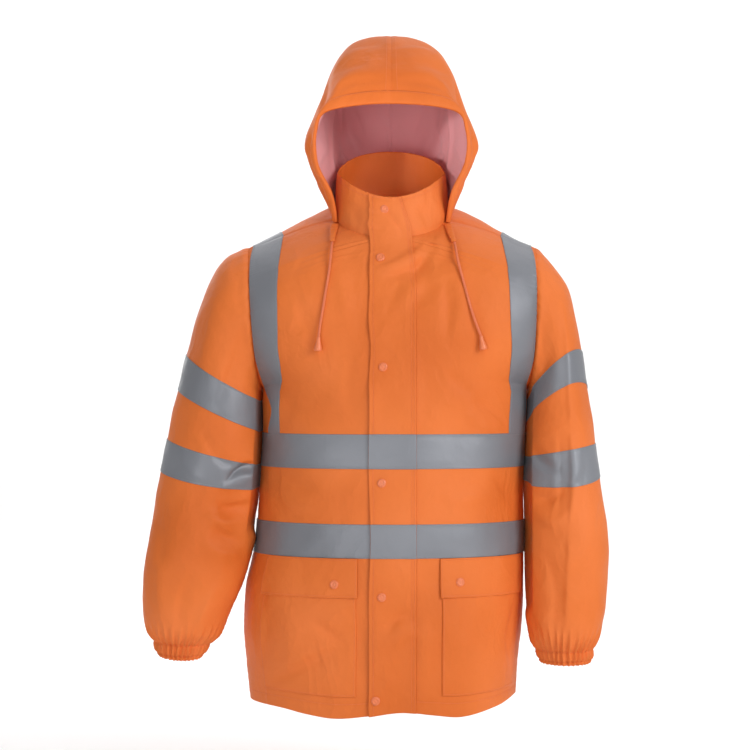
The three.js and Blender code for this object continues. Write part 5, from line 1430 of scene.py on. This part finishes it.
def makePlain(name, base, deep, roughness, scale, depth, braid=False):
    material = bpy.data.materials.new(name)
    material.use_nodes = True
    tree = material.node_tree
    shader = tree.nodes["Principled BSDF"]
    if braid:
        own = addNode(tree, "ShaderNodeUVMap", {"uv_map": "cloth"})
        split = addNode(tree, "ShaderNodeSeparateXYZ", Vector=own.outputs[0])
        u = calculate(tree, "MULTIPLY", split.outputs[0], scale)
        v = calculate(tree, "MULTIPLY", split.outputs[1], scale * 0.75)
        one = calculate(tree, "SINE", calculate(tree, "ADD", u, v))
        two = calculate(tree, "SINE", calculate(tree, "SUBTRACT", u, v))
        value = calculate(tree, "MULTIPLY_ADD", calculate(tree, "MAXIMUM", one, two), 0.5, 0.5)
    else:
        place = addNode(tree, "ShaderNodeTexCoord")
        grain = addNode(tree, "ShaderNodeTexNoise", Vector=place.outputs["Object"], Scale=scale, Detail=4.0)
        value = grain.outputs[0]
    # the colour follows the relief, deeper where it is low: on the braid this is painted shade in its
    # grooves, on the noise grain the grain's own tone
    ramp = addNode(tree, "ShaderNodeValToRGB", Fac=value)
    ramp.color_ramp.elements[0].position, ramp.color_ramp.elements[0].color = 0.25, (*deep, 1)
    ramp.color_ramp.elements[1].position, ramp.color_ramp.elements[1].color = 0.75, (*base, 1)
    tree.links.new(ramp.outputs[0], shader.inputs["Base Color"])
    rough = calculate(tree, "MULTIPLY_ADD", value, 0.12, roughness - 0.06)
    tree.links.new(rough, shader.inputs["Roughness"])
    relief = addNode(tree, "ShaderNodeBump", Height=value, Strength=1.0, Distance=depth)
    tree.links.new(relief.outputs[0], shader.inputs["Normal"])
    return material


def shaded(key, share):
    return tuple(value * share for value in colours[key])


finishes = {
    "shell": makeCloth(
        "coatedShell", colours["shell"], colours["shellDeep"], colours["shellLight"], roughness=0.56,
        threads=1500.0, crumple=(12.0, 0.3), crumpleDepth=0.0045, weaveDepth=0.00006, specular=0.22),
    "lining": makeCloth(
        "liningKnit", colours["lining"], colours["liningDeep"], shaded("lining", 1.08), roughness=0.82,
        threads=900.0, crumple=(9.0, 0.4), crumpleDepth=0.003, weaveDepth=0.00015, sheen=0.25, specular=0.2),
    "reflective_tape": makeCloth(
        "reflectiveTape", colours["tape"], shaded("tape", 0.9), colours["tapeLight"], roughness=0.42,
        threads=2200.0, crumple=(10.0, 0.3), crumpleDepth=0.0022, weaveDepth=0.00004, specular=0.35,
        metallic=0.2),
    "plastic": makePlain("snapPlastic", colours["plastic"], shaded("plastic", 0.9), roughness=0.36,
                         scale=260.0, depth=0.00004),
    # the cord's braid carries painted shade in its grooves
    "cord": makePlain("cordBraid", colours["cord"], colours["cordGrooveShade"], roughness=0.78, scale=5200.0,
                      depth=0.00035, braid=True),
}
threadFinishes = {
    f"{kind}_stitches": makePlain(f"{kind}Thread", colours[f"{kind}Thread"], shaded(f"{kind}Thread", 0.8),
                                  roughness=0.6, scale=900.0, depth=0.00005)
    for kind in stitchLines
}
for name, piece in pieces.items():
    piece.data.materials.clear()
    piece.data.materials.append(threadFinishes.get(name) or finishes[piece["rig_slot"]])
print("stage 11: finishes are on")

for name, held, rests in sheetFacts:
    piece = pieces[name]
    layer = piece.data.uv_layers["cloth"].data
    flat = np.zeros(len(layer) * 2)
    layer.foreach_get("uv", flat)
    flat = flat.reshape(-1, 2)
    faces = bmesh.new()
    faces.from_mesh(piece.data)
    area = sum(face.calc_area() for face in faces.faces) / 2  # one side of the cloth
    faces.free()

print("stage 12: sheets and cords are declared", len(sheetFacts), len(cordFacts))
